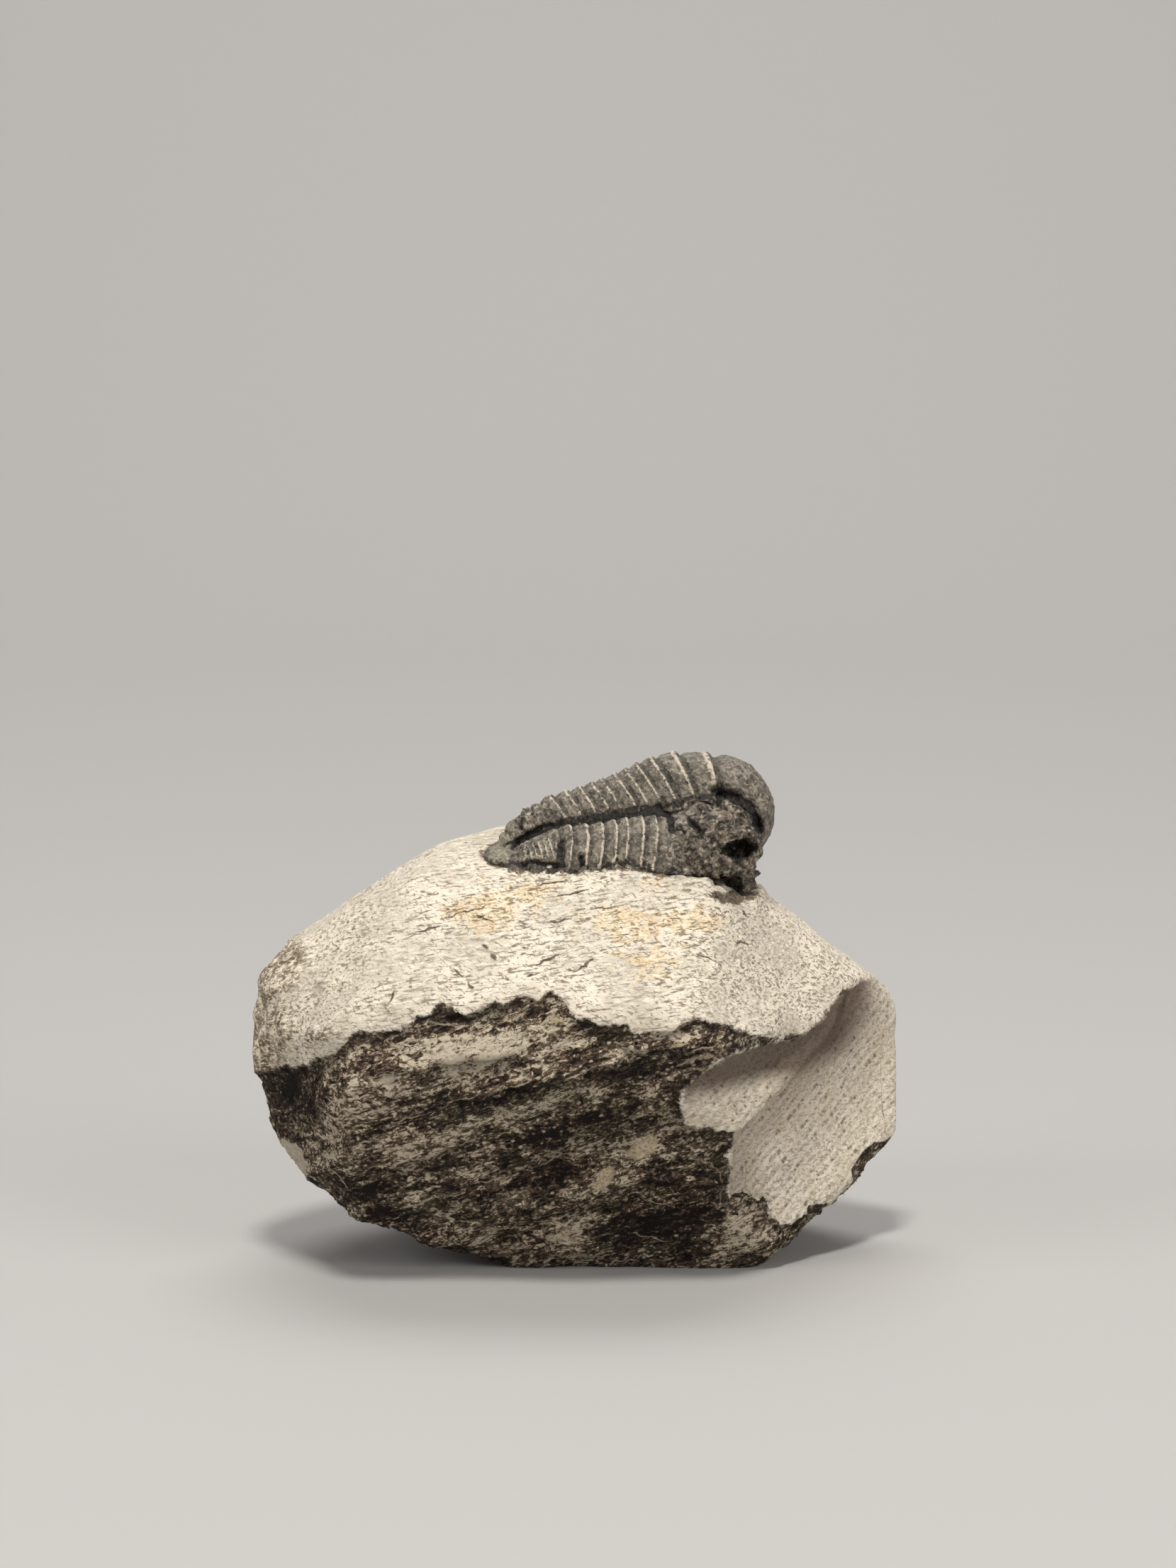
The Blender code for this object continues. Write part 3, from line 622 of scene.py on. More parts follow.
def body_section(place):
    """Points round the body at one place, and for each how much it is a lip, a groove and a furrow: the lips are
    painted pale, as rubbed shell and as highlight, and the grooves and furrows with painted shade.
    """
    x, z, lean, fall, axis_width, axis_height, flank_width, flank_drop = station_at(place)
    lean, fall = math.radians(lean), math.radians(fall)
    up = np.array((math.sin(lean), 0.0, math.cos(lean)))
    down = -np.array((math.sin(fall), 0.0, math.cos(fall)))
    base = np.array((x, MIDDLE_Y, z))
    ring_share = relief_share(x, 0.22, GROOVES[-1])
    rib_share = relief_share(x, 0.25, RIBS_END)
    furrow_share = 0.45 * smooth_step(x, -6.0, -4.6) + 0.55 * smooth_step(x, -2.5, 0.5)
    furrow_share *= 1.0 - 0.7 * smooth_step(x, 11.5, 13.0)
    turn = rings_before(x)
    profile = ring_profile(turn) - 0.6
    lip = math.exp(-(((turn % 1.0 - 0.79) / 0.11) ** 2))
    groove = math.exp(-(((turn % 1.0 - 0.99) / 0.09) ** 2)) + math.exp(-(((turn % 1.0 + 0.01) / 0.13) ** 2))

    points, wear_and_shading = [], []

    def flank_point(side, step):
        angle = step * math.radians(FLANK_SWEEP)
        lift = RIB_RELIEF * rib_share * profile
        furrow = furrow_share * FURROW_DEPTH * math.exp(-(((step - 0.06) / 0.13) ** 2))
        out = axis_width + (flank_width + lift) * math.sin(angle)
        drop = flank_drop * (1.0 - math.cos(angle)) - lift * math.cos(angle) + furrow
        bow = RIB_BOW * rib_share * math.sin(math.pi * step)
        points.append(base + np.array((bow, side * out, 0.0)) + down * drop)
        ribbed = rib_share * smooth_step(step, 0.04, 0.12)
        wear_and_shading.append((lip * ribbed, groove * ribbed, math.exp(-(((step - 0.04) / 0.035) ** 2))))

    def axis_point(side, degrees):
        angle = math.radians(degrees)
        lift = RING_RELIEF * ring_share * profile
        out = axis_width * math.sin(angle) ** 0.9 + lift * math.sin(angle)
        height = axis_height * math.cos(angle) ** 0.8 - 0.15 + lift
        bow = -RING_BOW * ring_share * math.cos(angle) ** 3
        points.append(base + np.array((bow, side * out, 0.0)) + up * height)
        wear_and_shading.append((lip * ring_share, groove * ring_share, smooth_step(degrees, 82.0, 87.0)))

    steps = np.linspace(1.0, 0.04, FLANK_POINTS)
    angles = np.linspace(86.0, 0.0, AXIS_POINTS)
    for step in steps:
        flank_point(1.0, step)
    for angle in angles:
        axis_point(1.0, angle)
    for angle in angles[-2::-1]:
        axis_point(-1.0, angle)
    for step in steps[::-1]:
        flank_point(-1.0, step)
    head_share = smooth_step(x, 11.6, 13.6)
    depth = min(flank_drop + 1.2, BODY_DEPTH + (HEAD_DEPTH - BODY_DEPTH) * head_share)
    half = 0.55 * (axis_width + flank_width)
    for side in (-1.0, 1.0):
        points.append(base + np.array((0.0, side * half, 0.0)) + down * depth)
        wear_and_shading.append((0.0, 0.0, 0.0))
    return points, wear_and_shading


def body_shell():
    """Points, faces and lip, groove and furrow shares of the body's loft, with its two ends closed."""
    points, wear_and_shading = [], []
    for place in np.linspace(0.03, HEAD_END - 0.03, BODY_SECTIONS):
        section, wear_and_light = body_section(place)
        points += section
        wear_and_shading += wear_and_light
    count = len(section)
    ring, i = np.meshgrid(np.arange(BODY_SECTIONS - 1) * count, np.arange(count), indexing="ij")
    j = (i + 1) % count
    faces = np.stack((ring + i, ring + j, ring + count + j, ring + count + i), axis=-1).reshape(-1, 4).tolist()
    faces.append(list(range(count))[::-1])
    faces.append(list(range((BODY_SECTIONS - 1) * count, BODY_SECTIONS * count)))
    return np.array(points), faces, np.array(wear_and_shading)


def add_lump(bm, centre, radii, roughness):
    made = bmesh.ops.create_icosphere(bm, subdivisions=LUMP_FINENESS, radius=1.0)
    rays = np.array([v.co.normalized() for v in made["verts"]])
    points = np.array(centre) + rays * np.array(radii)
    points += rays * (roughness * fractal(points, LUMP_GRAIN, 2, 3.0))[:, None]
    for vertex, point in zip(made["verts"], points):
        vertex.co = Vector(point) * MM


def recast(piece, pitch):
    """Recasts the overlapping shells of a piece as one skin on an even grid."""
    modifier = piece.modifiers.new("recast", "REMESH")
    modifier.mode = "VOXEL"
    modifier.voxel_size = pitch * MM
    modifier.adaptivity = 0.0
    bake(piece)


def bake(piece):
    """Turns the piece, with its modifiers applied, into a plain mesh."""
    depsgraph = bpy.context.evaluated_depsgraph_get()
    shaped = piece.evaluated_get(depsgraph)
    mesh = bpy.data.meshes.new_from_object(shaped, preserve_all_data_layers=True, depsgraph=depsgraph)
    piece.modifiers.clear()
    piece.data = mesh
    mesh.name = piece.name


def read_points(piece, what):
    """The place or the normal of each point of the piece."""
    values = np.zeros(len(piece.data.vertices) * 3)
    piece.data.vertices.foreach_get(what, values)
    return values.reshape(-1, 3)


def move_points(piece, points):
    piece.data.vertices.foreach_set("co", (points * MM).ravel())
    piece.data.update()


def near_places(points):
    """Points brought over to the near side of the trilobite, and where they then show from the front."""
    near = points.copy()
    near[:, 1] = MIDDLE_Y - np.abs(points[:, 1] - MIDDLE_Y)
    return near, seen(near)


def over_stone(points):
    """Each point's offset and distance from the block's heart, and the distance of the stone's surface there."""
    offset = points - STONE_HEART
    length = np.linalg.norm(offset, axis=1)
    return offset, length, stone_surface(offset / length[:, None])


def path_share(places, path, half_width):
    return np.exp(-((distance_to_path(places, path) / half_width) ** 2))


def make_trilobite():
    """The petrified trilobite: the part's own loft and lumps, recast as one skin, with its lips, grooves and furrows
    kept as marks for pale lips and painted shade.
    """
    loft, faces, wear_and_shading = body_shell()
    mesh = bpy.data.meshes.new("petrified_trilobite")
    mesh.from_pydata((loft * MM).tolist(), [], faces)
    bm = bmesh.new()
    bm.from_mesh(mesh)
    bmesh.ops.recalc_face_normals(bm, faces=bm.faces[:])
    for centre, radii, roughness in LUMPS:
        add_lump(bm, centre, radii, roughness)
    bm.to_mesh(mesh)
    bm.free()
    piece = bpy.data.objects.new("petrified_trilobite", mesh)
    bpy.context.scene.collection.objects.link(piece)
    recast(piece, RECAST)

    points, lines = read_points(piece, "co") / MM, read_points(piece, "normal")
    near, places = near_places(points)
    faces_out = smooth_step(-lines[:, 1] * np.sign(MIDDLE_Y - points[:, 1]), -0.9, -0.2)
    wander = 0.16 * np.stack((fractal(near, 0.9, 3, 71.0), fractal(near, 0.9, 3, 72.0)), axis=1)
    lift = np.zeros(len(points))
    for path, half_width, depth in CARVED:
        lift = np.minimum(lift, -depth * path_share(places + wander, path, half_width))
    for path, half_width, height in RAISED:
        lift = lift + height * path_share(places + wander, path, half_width)
    turns = (places[:, 0] + 0.3 * places[:, 1]) / RIBLET_PITCH
    riblets = patch_field(places, (RIBLETS,)) * np.cos(2.0 * math.pi * turns)
    lift = (lift + RIBLET_HEIGHT * riblets) * faces_out
    cheek_side = smooth_step(distance_inside(places, CHEEK), -0.1, 0.7)
    tail_side, tail_axis = patch_field(places, (TAIL_SIDE,)), patch_field(places, (TAIL_AXIS,))
    crags = 0.42 * fractal(near, 1.6, 3, 73.0) + 0.10 * fractal(near, 0.5, 2, 74.0)
    lift += np.maximum(cheek_side, 0.6 * tail_side) * crags + 0.06 * fractal(near, 0.7, 3, 75.0)
    lift += TAIL_CRAGS * tail_axis * fractal(near, 0.9, 4, 80.0)
    _, length, surface = over_stone(points)
    ragged = np.exp(-(((length - surface) / 0.8) ** 2)) * smooth_step(points[:, 0], -6.2, -4.8)
    lift += 0.34 * ragged * fractal(near, 0.8, 3, 78.0)
    points = points + lines * lift[:, None]
    places = near_places(points)[1] + wander
    carved = np.max([path_share(places, path, 0.85 * half_width) for path, half_width, _ in CARVED], axis=0)
    for centre, radii in HOLLOWS:
        local = (points - np.array(centre)) / np.array(radii)
        room = 1.0 - local[:, 0] ** 2 - local[:, 2] ** 2 + 0.80 * fractal(points, 1.1, 4, 76.0)
        floor = centre[1] + radii[1] * np.sqrt(np.clip(room, 0.0, None))
        dig = (room > 0) & (points[:, 1] < floor) & (points[:, 1] > centre[1] - 2 * radii[1])
        points[:, 1] = np.where(dig, floor, points[:, 1])

    tree = kdtree.KDTree(len(loft))
    for i, point in enumerate(loft):
        tree.insert(point, i)
    tree.balance()
    found = [tree.find(point) for point in points]
    nearest, away = [index for _, index, _ in found], np.array([distance for _, _, distance in found])
    on_body = 1.0 - smooth_step(away - np.abs(lift), 0.12, 0.3)
    no_lumps = smooth_step(points[:, 0], -5.0, -4.2) * (1.0 - smooth_step(points[:, 0], 6.4, 7.4))
    on_body = np.maximum(on_body, no_lumps)
    lip, groove, furrow = (wear_and_shading[nearest] * on_body[:, None]).T

    offset, length, surface = over_stone(points)
    clear = length - surface
    points = STONE_HEART + offset * (np.maximum(length, surface - SUNK) / length)[:, None]
    move_points(piece, points)
    piece.data.shade_smooth()
    collar_tree = kdtree.KDTree(len(points))
    for i in np.nonzero(np.abs(clear) < 0.25)[0]:
        collar_tree.insert(points[i], int(i))
    collar_tree.balance()
    head = smooth_step(points[:, 0], 10.6, 11.4)
    tail = 1.0 - smooth_step(points[:, 0] + 0.5 * fractal(points, 1.2, 3, 79.0), -6.9, -5.2)
    lumpy = (1.0 - on_body) * smooth_step(points[:, 0], 5.0, 7.5)
    craggy = np.max((lumpy, cheek_side, 0.8 * tail_side, 0.9 * tail_axis), axis=0)
    hollow = np.zeros(len(points))
    for centre, radii in HOLLOWS:
        local = (points - np.array(centre)) / (1.25 * np.array(radii))
        reach = np.linalg.norm(local, axis=1) + 0.35 * fractal(points, 0.9, 3, 77.0)
        hollow = np.maximum(hollow, 1.0 - smooth_step(reach, 0.72, 1.02))
    marks = {
        "carved": np.maximum(carved * faces_out, 0.0),
        "riblets": np.clip(riblets, 0, 1) * faces_out,
        "lip": lip * (1.0 - cheek_side),
        "groove": np.clip(groove * (1.0 - cheek_side), 0, 1),
        "furrow": np.clip(furrow, 0, 1),
        "lump": 1.0 - on_body,
        "clear": clear,
        "head": head,
        "tail": tail,
        "rough": np.clip(0.25 + craggy + 0.25 * head, 0, 1),
        "hollow": hollow,
    }
    for name, values in marks.items():
        mark(piece, name, values)
    return piece, collar_tree


# ---------------------------------------------------------------- node building


class Wire:
    """What one output of a node gives. Wires add, multiply and so on like numbers, by way of further nodes."""

    def __init__(self, socket):
        self.socket = socket

    def __add__(self, other):
        return combine("ADD", self, other)

    def __radd__(self, other):
        return combine("ADD", other, self)

    def __sub__(self, other):
        return combine("SUBTRACT", self, other)

    def __rsub__(self, other):
        return combine("SUBTRACT", other, self)

    def __mul__(self, other):
        return combine("MULTIPLY", self, other)

    def __truediv__(self, other):
        return combine("DIVIDE", self, other)


def put(tree, kind, inputs=None, **settings):
    """Adds a node. Settings are its own; inputs are its sockets by name or number, as values or wires."""
    node = tree.nodes.new(kind)
    for key, value in settings.items():
        setattr(node, key, value)
    for key, value in (inputs or {}).items():
        if isinstance(value, Wire):
            tree.links.new(value.socket, node.inputs[key])
        else:
            node.inputs[key].default_value = value
    return node


def give(tree, kind, inputs=None, output=0, **settings):
    """Adds a node and returns the wire from one of its outputs."""
    return Wire(put(tree, kind, inputs, **settings).outputs[output])


def tree_of(*values):
    """The tree that the first wire among the values is in."""
    return next(value.socket.id_data for value in values if isinstance(value, Wire))


def combine(operation, *values, clamp=False):
    return give(tree_of(*values), "ShaderNodeMath", dict(enumerate(values)), operation=operation, use_clamp=clamp)


def vector(operation, first, second, output=0):
    """Sum of vectors, or of a vector and its scale."""
    second_name = "Scale" if operation == "SCALE" else 1
    inputs = {0: first, second_name: second}
    return give(tree_of(first, second), "ShaderNodeVectorMath", inputs, output=output, operation=operation)


def rise(value, low, high, to_low=0.0, to_high=1.0):
    """Smooth climb from to_low to to_high as the value goes from low to high."""
    inputs = {"Value": value, "From Min": low, "From Max": high, "To Min": to_low, "To Max": to_high}
    return give(tree_of(value), "ShaderNodeMapRange", inputs, interpolation_type="SMOOTHSTEP")


def read_marks(tree, *names):
    return [give(tree, "ShaderNodeAttribute", output="Fac", attribute_name=name) for name in names]


def blend(share, first, second):
    """Colour between the first and the second."""
    return give(tree_of(share), "ShaderNodeMix", {0: share, 6: first, 7: second}, output=2, data_type="RGBA")


def tint(red, green, blue):
    """Colour from its 0 to 255 values on a screen."""
    shares = [c / 255 for c in (red, green, blue)]
    return tuple(c / 12.92 if c < 0.0404 else ((c + 0.055) / 1.055) ** 2.4 for c in shares) + (1.0,)


def grain(place, scale, detail=2.0, roughness=0.5, distortion=0.0, output=0):
    inputs = {"Vector": place, "Scale": scale, "Detail": detail, "Roughness": roughness, "Distortion": distortion}
    return give(tree_of(place), "ShaderNodeTexNoise", inputs, output=output)


def spots(place, scale, feature="F1"):
    """Distance from the middle of the nearest random cell."""
    return give(tree_of(place), "ShaderNodeTexVoronoi", {"Vector": place, "Scale": scale}, "Distance", feature=feature)


def cells_and_lots(place, scale):
    """Distance from the middle of the nearest random cell, and two random numbers for each cell."""
    cells = put(tree_of(place), "ShaderNodeTexVoronoi", {"Vector": place, "Scale": scale}, feature="F1")
    lots = put(tree_of(place), "ShaderNodeSeparateColor", {0: Wire(cells.outputs["Color"])})
    return Wire(cells.outputs["Distance"]), Wire(lots.outputs[0]), Wire(lots.outputs[1])


def stretched(place, sizes, turn=(0.0, 0.0, 0.0), shift=(0.0, 0.0, 0.0)):
    """Coordinates turned by degrees about x, y and z and then measured in units of the given sizes in mm."""
    tree = tree_of(place)
    inputs = {"Vector": place, "Rotation": [math.radians(a) for a in turn], "Location": shift}
    turned = give(tree, "ShaderNodeMapping", inputs)
    return give(tree, "ShaderNodeMapping", {"Vector": turned, "Scale": [1.0 / size for size in sizes]})


def nearest_stroke(place, strokes):
    """Distance from the nearest stroke, in units of its half width: 1 at its rim, with pointed ends."""
    nearest = 9.0
    for start, end, half_width in strokes:
        length = math.dist(start, end)
        middle = ((start[0] + end[0]) / 2.0, (start[1] + end[1]) / 2.0, 0.0)
        turn = (0.0, 0.0, math.atan2(end[1] - start[1], end[0] - start[0]))
        sizes = (length / 2.0 + half_width, half_width, 1.0)
        inputs = {"Vector": place, "Location": middle, "Rotation": turn, "Scale": sizes}
        local = give(tree_of(place), "ShaderNodeMapping", inputs, vector_type="TEXTURE")
        away = give(tree_of(place), "ShaderNodeVectorMath", {0: local}, output="Value", operation="LENGTH")
        nearest = combine("MINIMUM", nearest, away)
    return nearest


def new_finish(name):
    """A material with its tree, its shader, and its coordinates in mm."""
    material = bpy.data.materials.new(name)
    material.use_nodes = True
    tree = material.node_tree
    place = vector("SCALE", give(tree, "ShaderNodeTexCoord", output="Object"), 1.0 / MM)
    return material, tree, tree.nodes["Principled BSDF"], place


def dress(shader, colour, roughness, specular, relief, strength):
    """Gives the shader its colour, roughness, shine and relief, which is in mm."""
    tree = shader.id_data
    bump = give(tree, "ShaderNodeBump", {"Height": relief, "Strength": strength, "Distance": MM})
    for wire, name in ((colour, "Base Color"), (roughness, "Roughness"), (bump, "Normal")):
        tree.links.new(wire.socket, shader.inputs[name])
    shader.inputs["Specular IOR Level"].default_value = specular


def limestone_finish():
    material, tree, shader, place = new_finish("scribed limestone")
    weathered, ground, ochre, pale, tan, chip = read_marks(tree, "weathered", "ground", "ochre", "pale", "tan", "chip")
    lit, notch, shade, collar = read_marks(tree, "lit", "notch", "shade", "collar")
    low_flute, high_flute, across, up = read_marks(tree, "low_flute", "high_flute", "across", "up")

    fine = grain(place, 3.2, 4.0, 0.65)
    cloud = grain(place, 0.22, 3.0, 0.55)
    patchy = grain(place, 0.75, 4.0, 0.6, 0.4)
    centred = fine - 0.5
    wobble = vector("SUBTRACT", grain(place, 1.1, 3.0, output="Color"), (0.5, 0.5, 0.5))
    seen_place = give(tree, "ShaderNodeCombineXYZ", {0: across, 1: up})
    seen_place = vector("ADD", seen_place, vector("SCALE", wobble, 0.7))
    scratch = rise(nearest_stroke(seen_place, SCRATCHES) + centred, 0.55, 1.15, 1.0, 0.0)
    veins = rise(nearest_stroke(seen_place, VEINS) + centred * 2.0, 0.5, 1.2, 1.0, 0.0)
    rim_strokes = [(start, end, RIM_LINE_HALF_WIDTH) for start, end in zip(RIM_LINE, RIM_LINE[1:])]
    rim_line = rise(nearest_stroke(seen_place, rim_strokes), 0.6, 1.2, 1.0, 0.0)

    # Scribed top: cream with ochre stains and short dark strokes of the tool
    cream = blend(rise(cloud, 0.38, 0.64), tint(209, 199, 182), tint(232, 221, 203))
    cream = blend(rise(patchy, 0.5, 0.72, 0.0, 0.35), cream, tint(203, 189, 165))
    blotches = patchy - 0.5
    stain = ochre + blotches * 1.9 + centred * 1.3
    ochre_tone = blend(rise(fine, 0.35, 0.65), tint(206, 176, 130), tint(237, 217, 180))
    cream = blend(rise(stain, 0.46, 0.74, 0.0, 0.72), cream, ochre_tone)
    strokes = grain(stretched(place, (0.95, 0.42, 0.2), (0.0, 8.0, 0.0)), 1.0, 3.0, 0.62, 0.5)
    strokes_left = grain(stretched(place, (0.6, 0.4, 0.2), (0.0, -38.0, 0.0), (3.0, 5.0, 1.0)), 1.0, 2.5, 0.6, 0.5)
    cut = combine("MAXIMUM", rise(strokes, 0.53, 0.66), rise(strokes_left, 0.56, 0.68, 0.0, 0.85))
    cut = cut * rise(cloud + ochre * 0.14, 0.36, 0.6, 0.6, 1.1)
    top = blend(rise(strokes, 0.44, 0.36, 0.0, 0.6), cream, tint(250, 241, 224))
    top = blend(cut * 0.78, top, tint(108, 90, 66))
    top = blend(scratch * 0.85, top, tint(60, 47, 33))
    # Darker round the trilobite's foot and below its head
    dark_round_foot = rise(collar + blotches * 2.4 + centred, 0.62, 0.95, 0.0, 0.9)
    top = blend(dark_round_foot, top, blend(rise(fine, 0.42, 0.6), tint(44, 37, 30), tint(116, 100, 78)))
    speck = rise(spots(place, 0.9), 0.1, 0.17, 0.75, 0.0)
    top = blend(speck * rise(patchy, 0.45, 0.6), top, tint(92, 76, 54))

    # Weathered tan skin of the left end
    tan_tone = blend(rise(patchy, 0.44, 0.64), tint(124, 106, 79), tint(240, 226, 202))
    tan_tone = blend(rise(cut, 0.2, 0.8, 0.0, 0.8), tan_tone, tint(86, 73, 53))
    tan_tone = blend(rise(fine, 0.52, 0.64, 0.0, 0.6), tan_tone, tint(98, 85, 64))
    tan_tone = blend(rise(strokes, 0.46, 0.39, 0.0, 0.8), tan_tone, tint(250, 240, 222))
    top = blend(rise(tan + blotches * 1.5, 0.34, 0.62, 0.0, 0.88), top, tan_tone)

    # Ground right face: pale grey with slanting rows of small dark pits
    face = blend(rise(cloud, 0.35, 0.65), tint(230, 218, 198), tint(248, 238, 221))
    face = blend(rise(fine, 0.45, 0.66, 0.0, 0.45), face, tint(176, 161, 136))
    face = blend(rise(strokes, 0.52, 0.66, 0.0, 0.5), face, tint(150, 134, 108))
    tilt, lean_back = math.radians(ROW_TILT), math.radians(EYE_HEIGHT)
    upward = np.array((0.0, math.sin(lean_back), math.cos(lean_back)))
    along = upward * math.sin(tilt) + np.array((math.cos(tilt), 0.0, 0.0))
    crosswise = upward * math.cos(tilt) - np.array((math.sin(tilt), 0.0, 0.0))
    run = vector("DOT_PRODUCT", place, tuple(along), "Value")
    rows = vector("DOT_PRODUCT", place, tuple(crosswise), "Value") + grain(place, 0.28) + centred * 0.14
    row = rows / ROW_PITCH
    off_row = combine("ABSOLUTE", combine("FRACT", row) - 0.5)
    dash_place = give(tree, "ShaderNodeCombineXYZ", {0: run / DASH_PITCH, 1: combine("FLOOR", row) * 5.3})
    pits = rise(off_row, 0.08, 0.28, 1.0, 0.0) * rise(grain(dash_place, 1.0, 1.5), 0.5, 0.64)
    face = blend(rise(off_row, 0.1, 0.42, 0.22, 0.0), face, tint(168, 152, 126))
    stray = rise(spots(place, 1.5) + centred * 0.3, 0.08, 0.2, 0.8, 0.0)
    pits = combine("MAXIMUM", pits, stray) * rise(patchy, 0.42, 0.62, 0.15, 1.0)
    # Painted shade in the flutes: beside the arris of the low flute and below the upper edge of the high flute
    low_side, high_side = low_flute + centred * 0.9, high_flute + centred * 0.9
    low_shade = rise(low_side, -0.15, 0.35) * rise(low_side, 0.9, 4.2, 1.0, 0.0)
    high_shade = rise(high_side, -0.6, 0.1) * rise(high_side, 1.9, 4.0, 1.0, 0.0)
    face = blend(low_shade * 0.58, face, tint(128, 112, 97))
    face = blend(high_shade * 0.92, face, tint(88, 73, 61))
    face = blend(pits * 0.66, face, tint(84, 69, 50))
    face = blend(rim_line * rise(patchy, 0.4, 0.55, 0.4, 0.85), face, tint(96, 82, 62))

    # Dark broken rock: brown crust speckled with light grains in slanting bands
    bands = grain(stretched(place, (3.6, 2.6, 1.3), BAND_TURN), 1.0, 4.0, 0.6, 0.5)
    # Lighter where the break is painted as catching the light, darker where it is painted as lying in shade, with the
    # slanting bands over that
    bright = lit * 0.62 + (bands - 0.5) * 2.42
    rubble = grain(stretched(place, (0.66, 0.6, 0.42), (0.0, 18.0, 0.0)), 1.0, 4.5, 0.7, 0.9)
    streaks = grain(stretched(place, (1.25, 0.8, 0.32), BAND_TURN, (7.0, 2.0, 3.0)), 1.0, 4.0, 0.65, 1.2)
    tone = rubble * 0.64 + streaks * 0.36 + bright * 0.15
    brown = blend(rise(cloud, 0.4, 0.6), tint(98, 76, 62), tint(98, 86, 66))
    crust = blend(rise(tone, 0.43, 0.51), tint(26, 18, 14), brown)
    crust = blend(rise(tone, 0.51, 0.57), crust, tint(158, 138, 112))
    crust = blend(rise(tone, 0.542, 0.592, 0.0, 0.95), crust, tint(246, 232, 207))
    hair = rise(combine("ABSOLUTE", streaks - 0.5), 0.006, 0.022, 0.8, 0.0) * rise(patchy + bright * 0.1, 0.5, 0.62)
    crust = blend(hair * 0.8, crust, tint(206, 186, 158))
    crust = blend(veins * 0.75, crust, tint(222, 204, 176))
    cell_distance, lot, tone_lot = cells_and_lots(stretched(place, (0.46, 0.4, 0.3), BAND_TURN), 1.0)
    chosen = rise(lot + (bright * 0.2 + pale * 0.35 - shade * 0.16), 0.77, 0.85)
    core = rise(cell_distance + centred * 0.8, 0.22, 0.55, 1.0, 0.0)
    grains_tone = blend(tone_lot, tint(150, 130, 106), tint(240, 224, 198))
    crust = blend(chosen * core * 0.85, crust, grains_tone)
    bare = rise(pale + centred + blotches * 0.9, 0.6, 0.72)
    pale_tone = blend(rise(fine, 0.4, 0.62), tint(248, 230, 196), tint(196, 174, 142))
    crust = blend(bare * 0.93, crust, pale_tone)
    # Painted shade below the ledges and in the notch at the left end
    gloom = combine("MAXIMUM", shade * 0.62, notch * 0.8) * rise(fine, 0.35, 0.65, 1.0, 0.6)
    crust = blend(gloom, crust, tint(24, 17, 12))
    clean = blend(rise(fine, 0.42, 0.6), tint(214, 200, 178), tint(236, 224, 204))
    crust = blend(rise(chip + centred * 0.5, 0.42, 0.52), crust, clean)

    edge_noise = centred * 0.7
    dark = rise(weathered + edge_noise, -0.1, 0.08)
    # Painted shadow in a band on the break just below the ragged edge of the scribed top
    rim = weathered + edge_noise * 1.6
    painted_edge_shadow = rise(rim, -0.05, 0.15) * rise(rim, 0.3, 1.5, 1.0, 0.0)
    crust = blend(painted_edge_shadow * 0.42, crust, tint(48, 38, 29))
    skin = blend(rise(ground + edge_noise, -0.25, 0.25), top, face)

    # Relief: strokes on the top, pits on the ground face and crumbs on the break, in mm
    light_relief = fine * 0.12 - cut * 0.075 - pits * rise(ground, -0.2, 0.3) * 0.13
    dark_relief = grain(place, 1.7, 5.0, 0.72) * 1.05 + cell_distance * -0.13 + rubble * 0.3
    relief = give(tree, "ShaderNodeMix", {0: dark, 2: light_relief, 3: dark_relief}, data_type="FLOAT")
    dress(shader, blend(dark, skin, crust), 0.95 - chosen * dark * 0.3, 0.30, relief, 0.9)
    return material


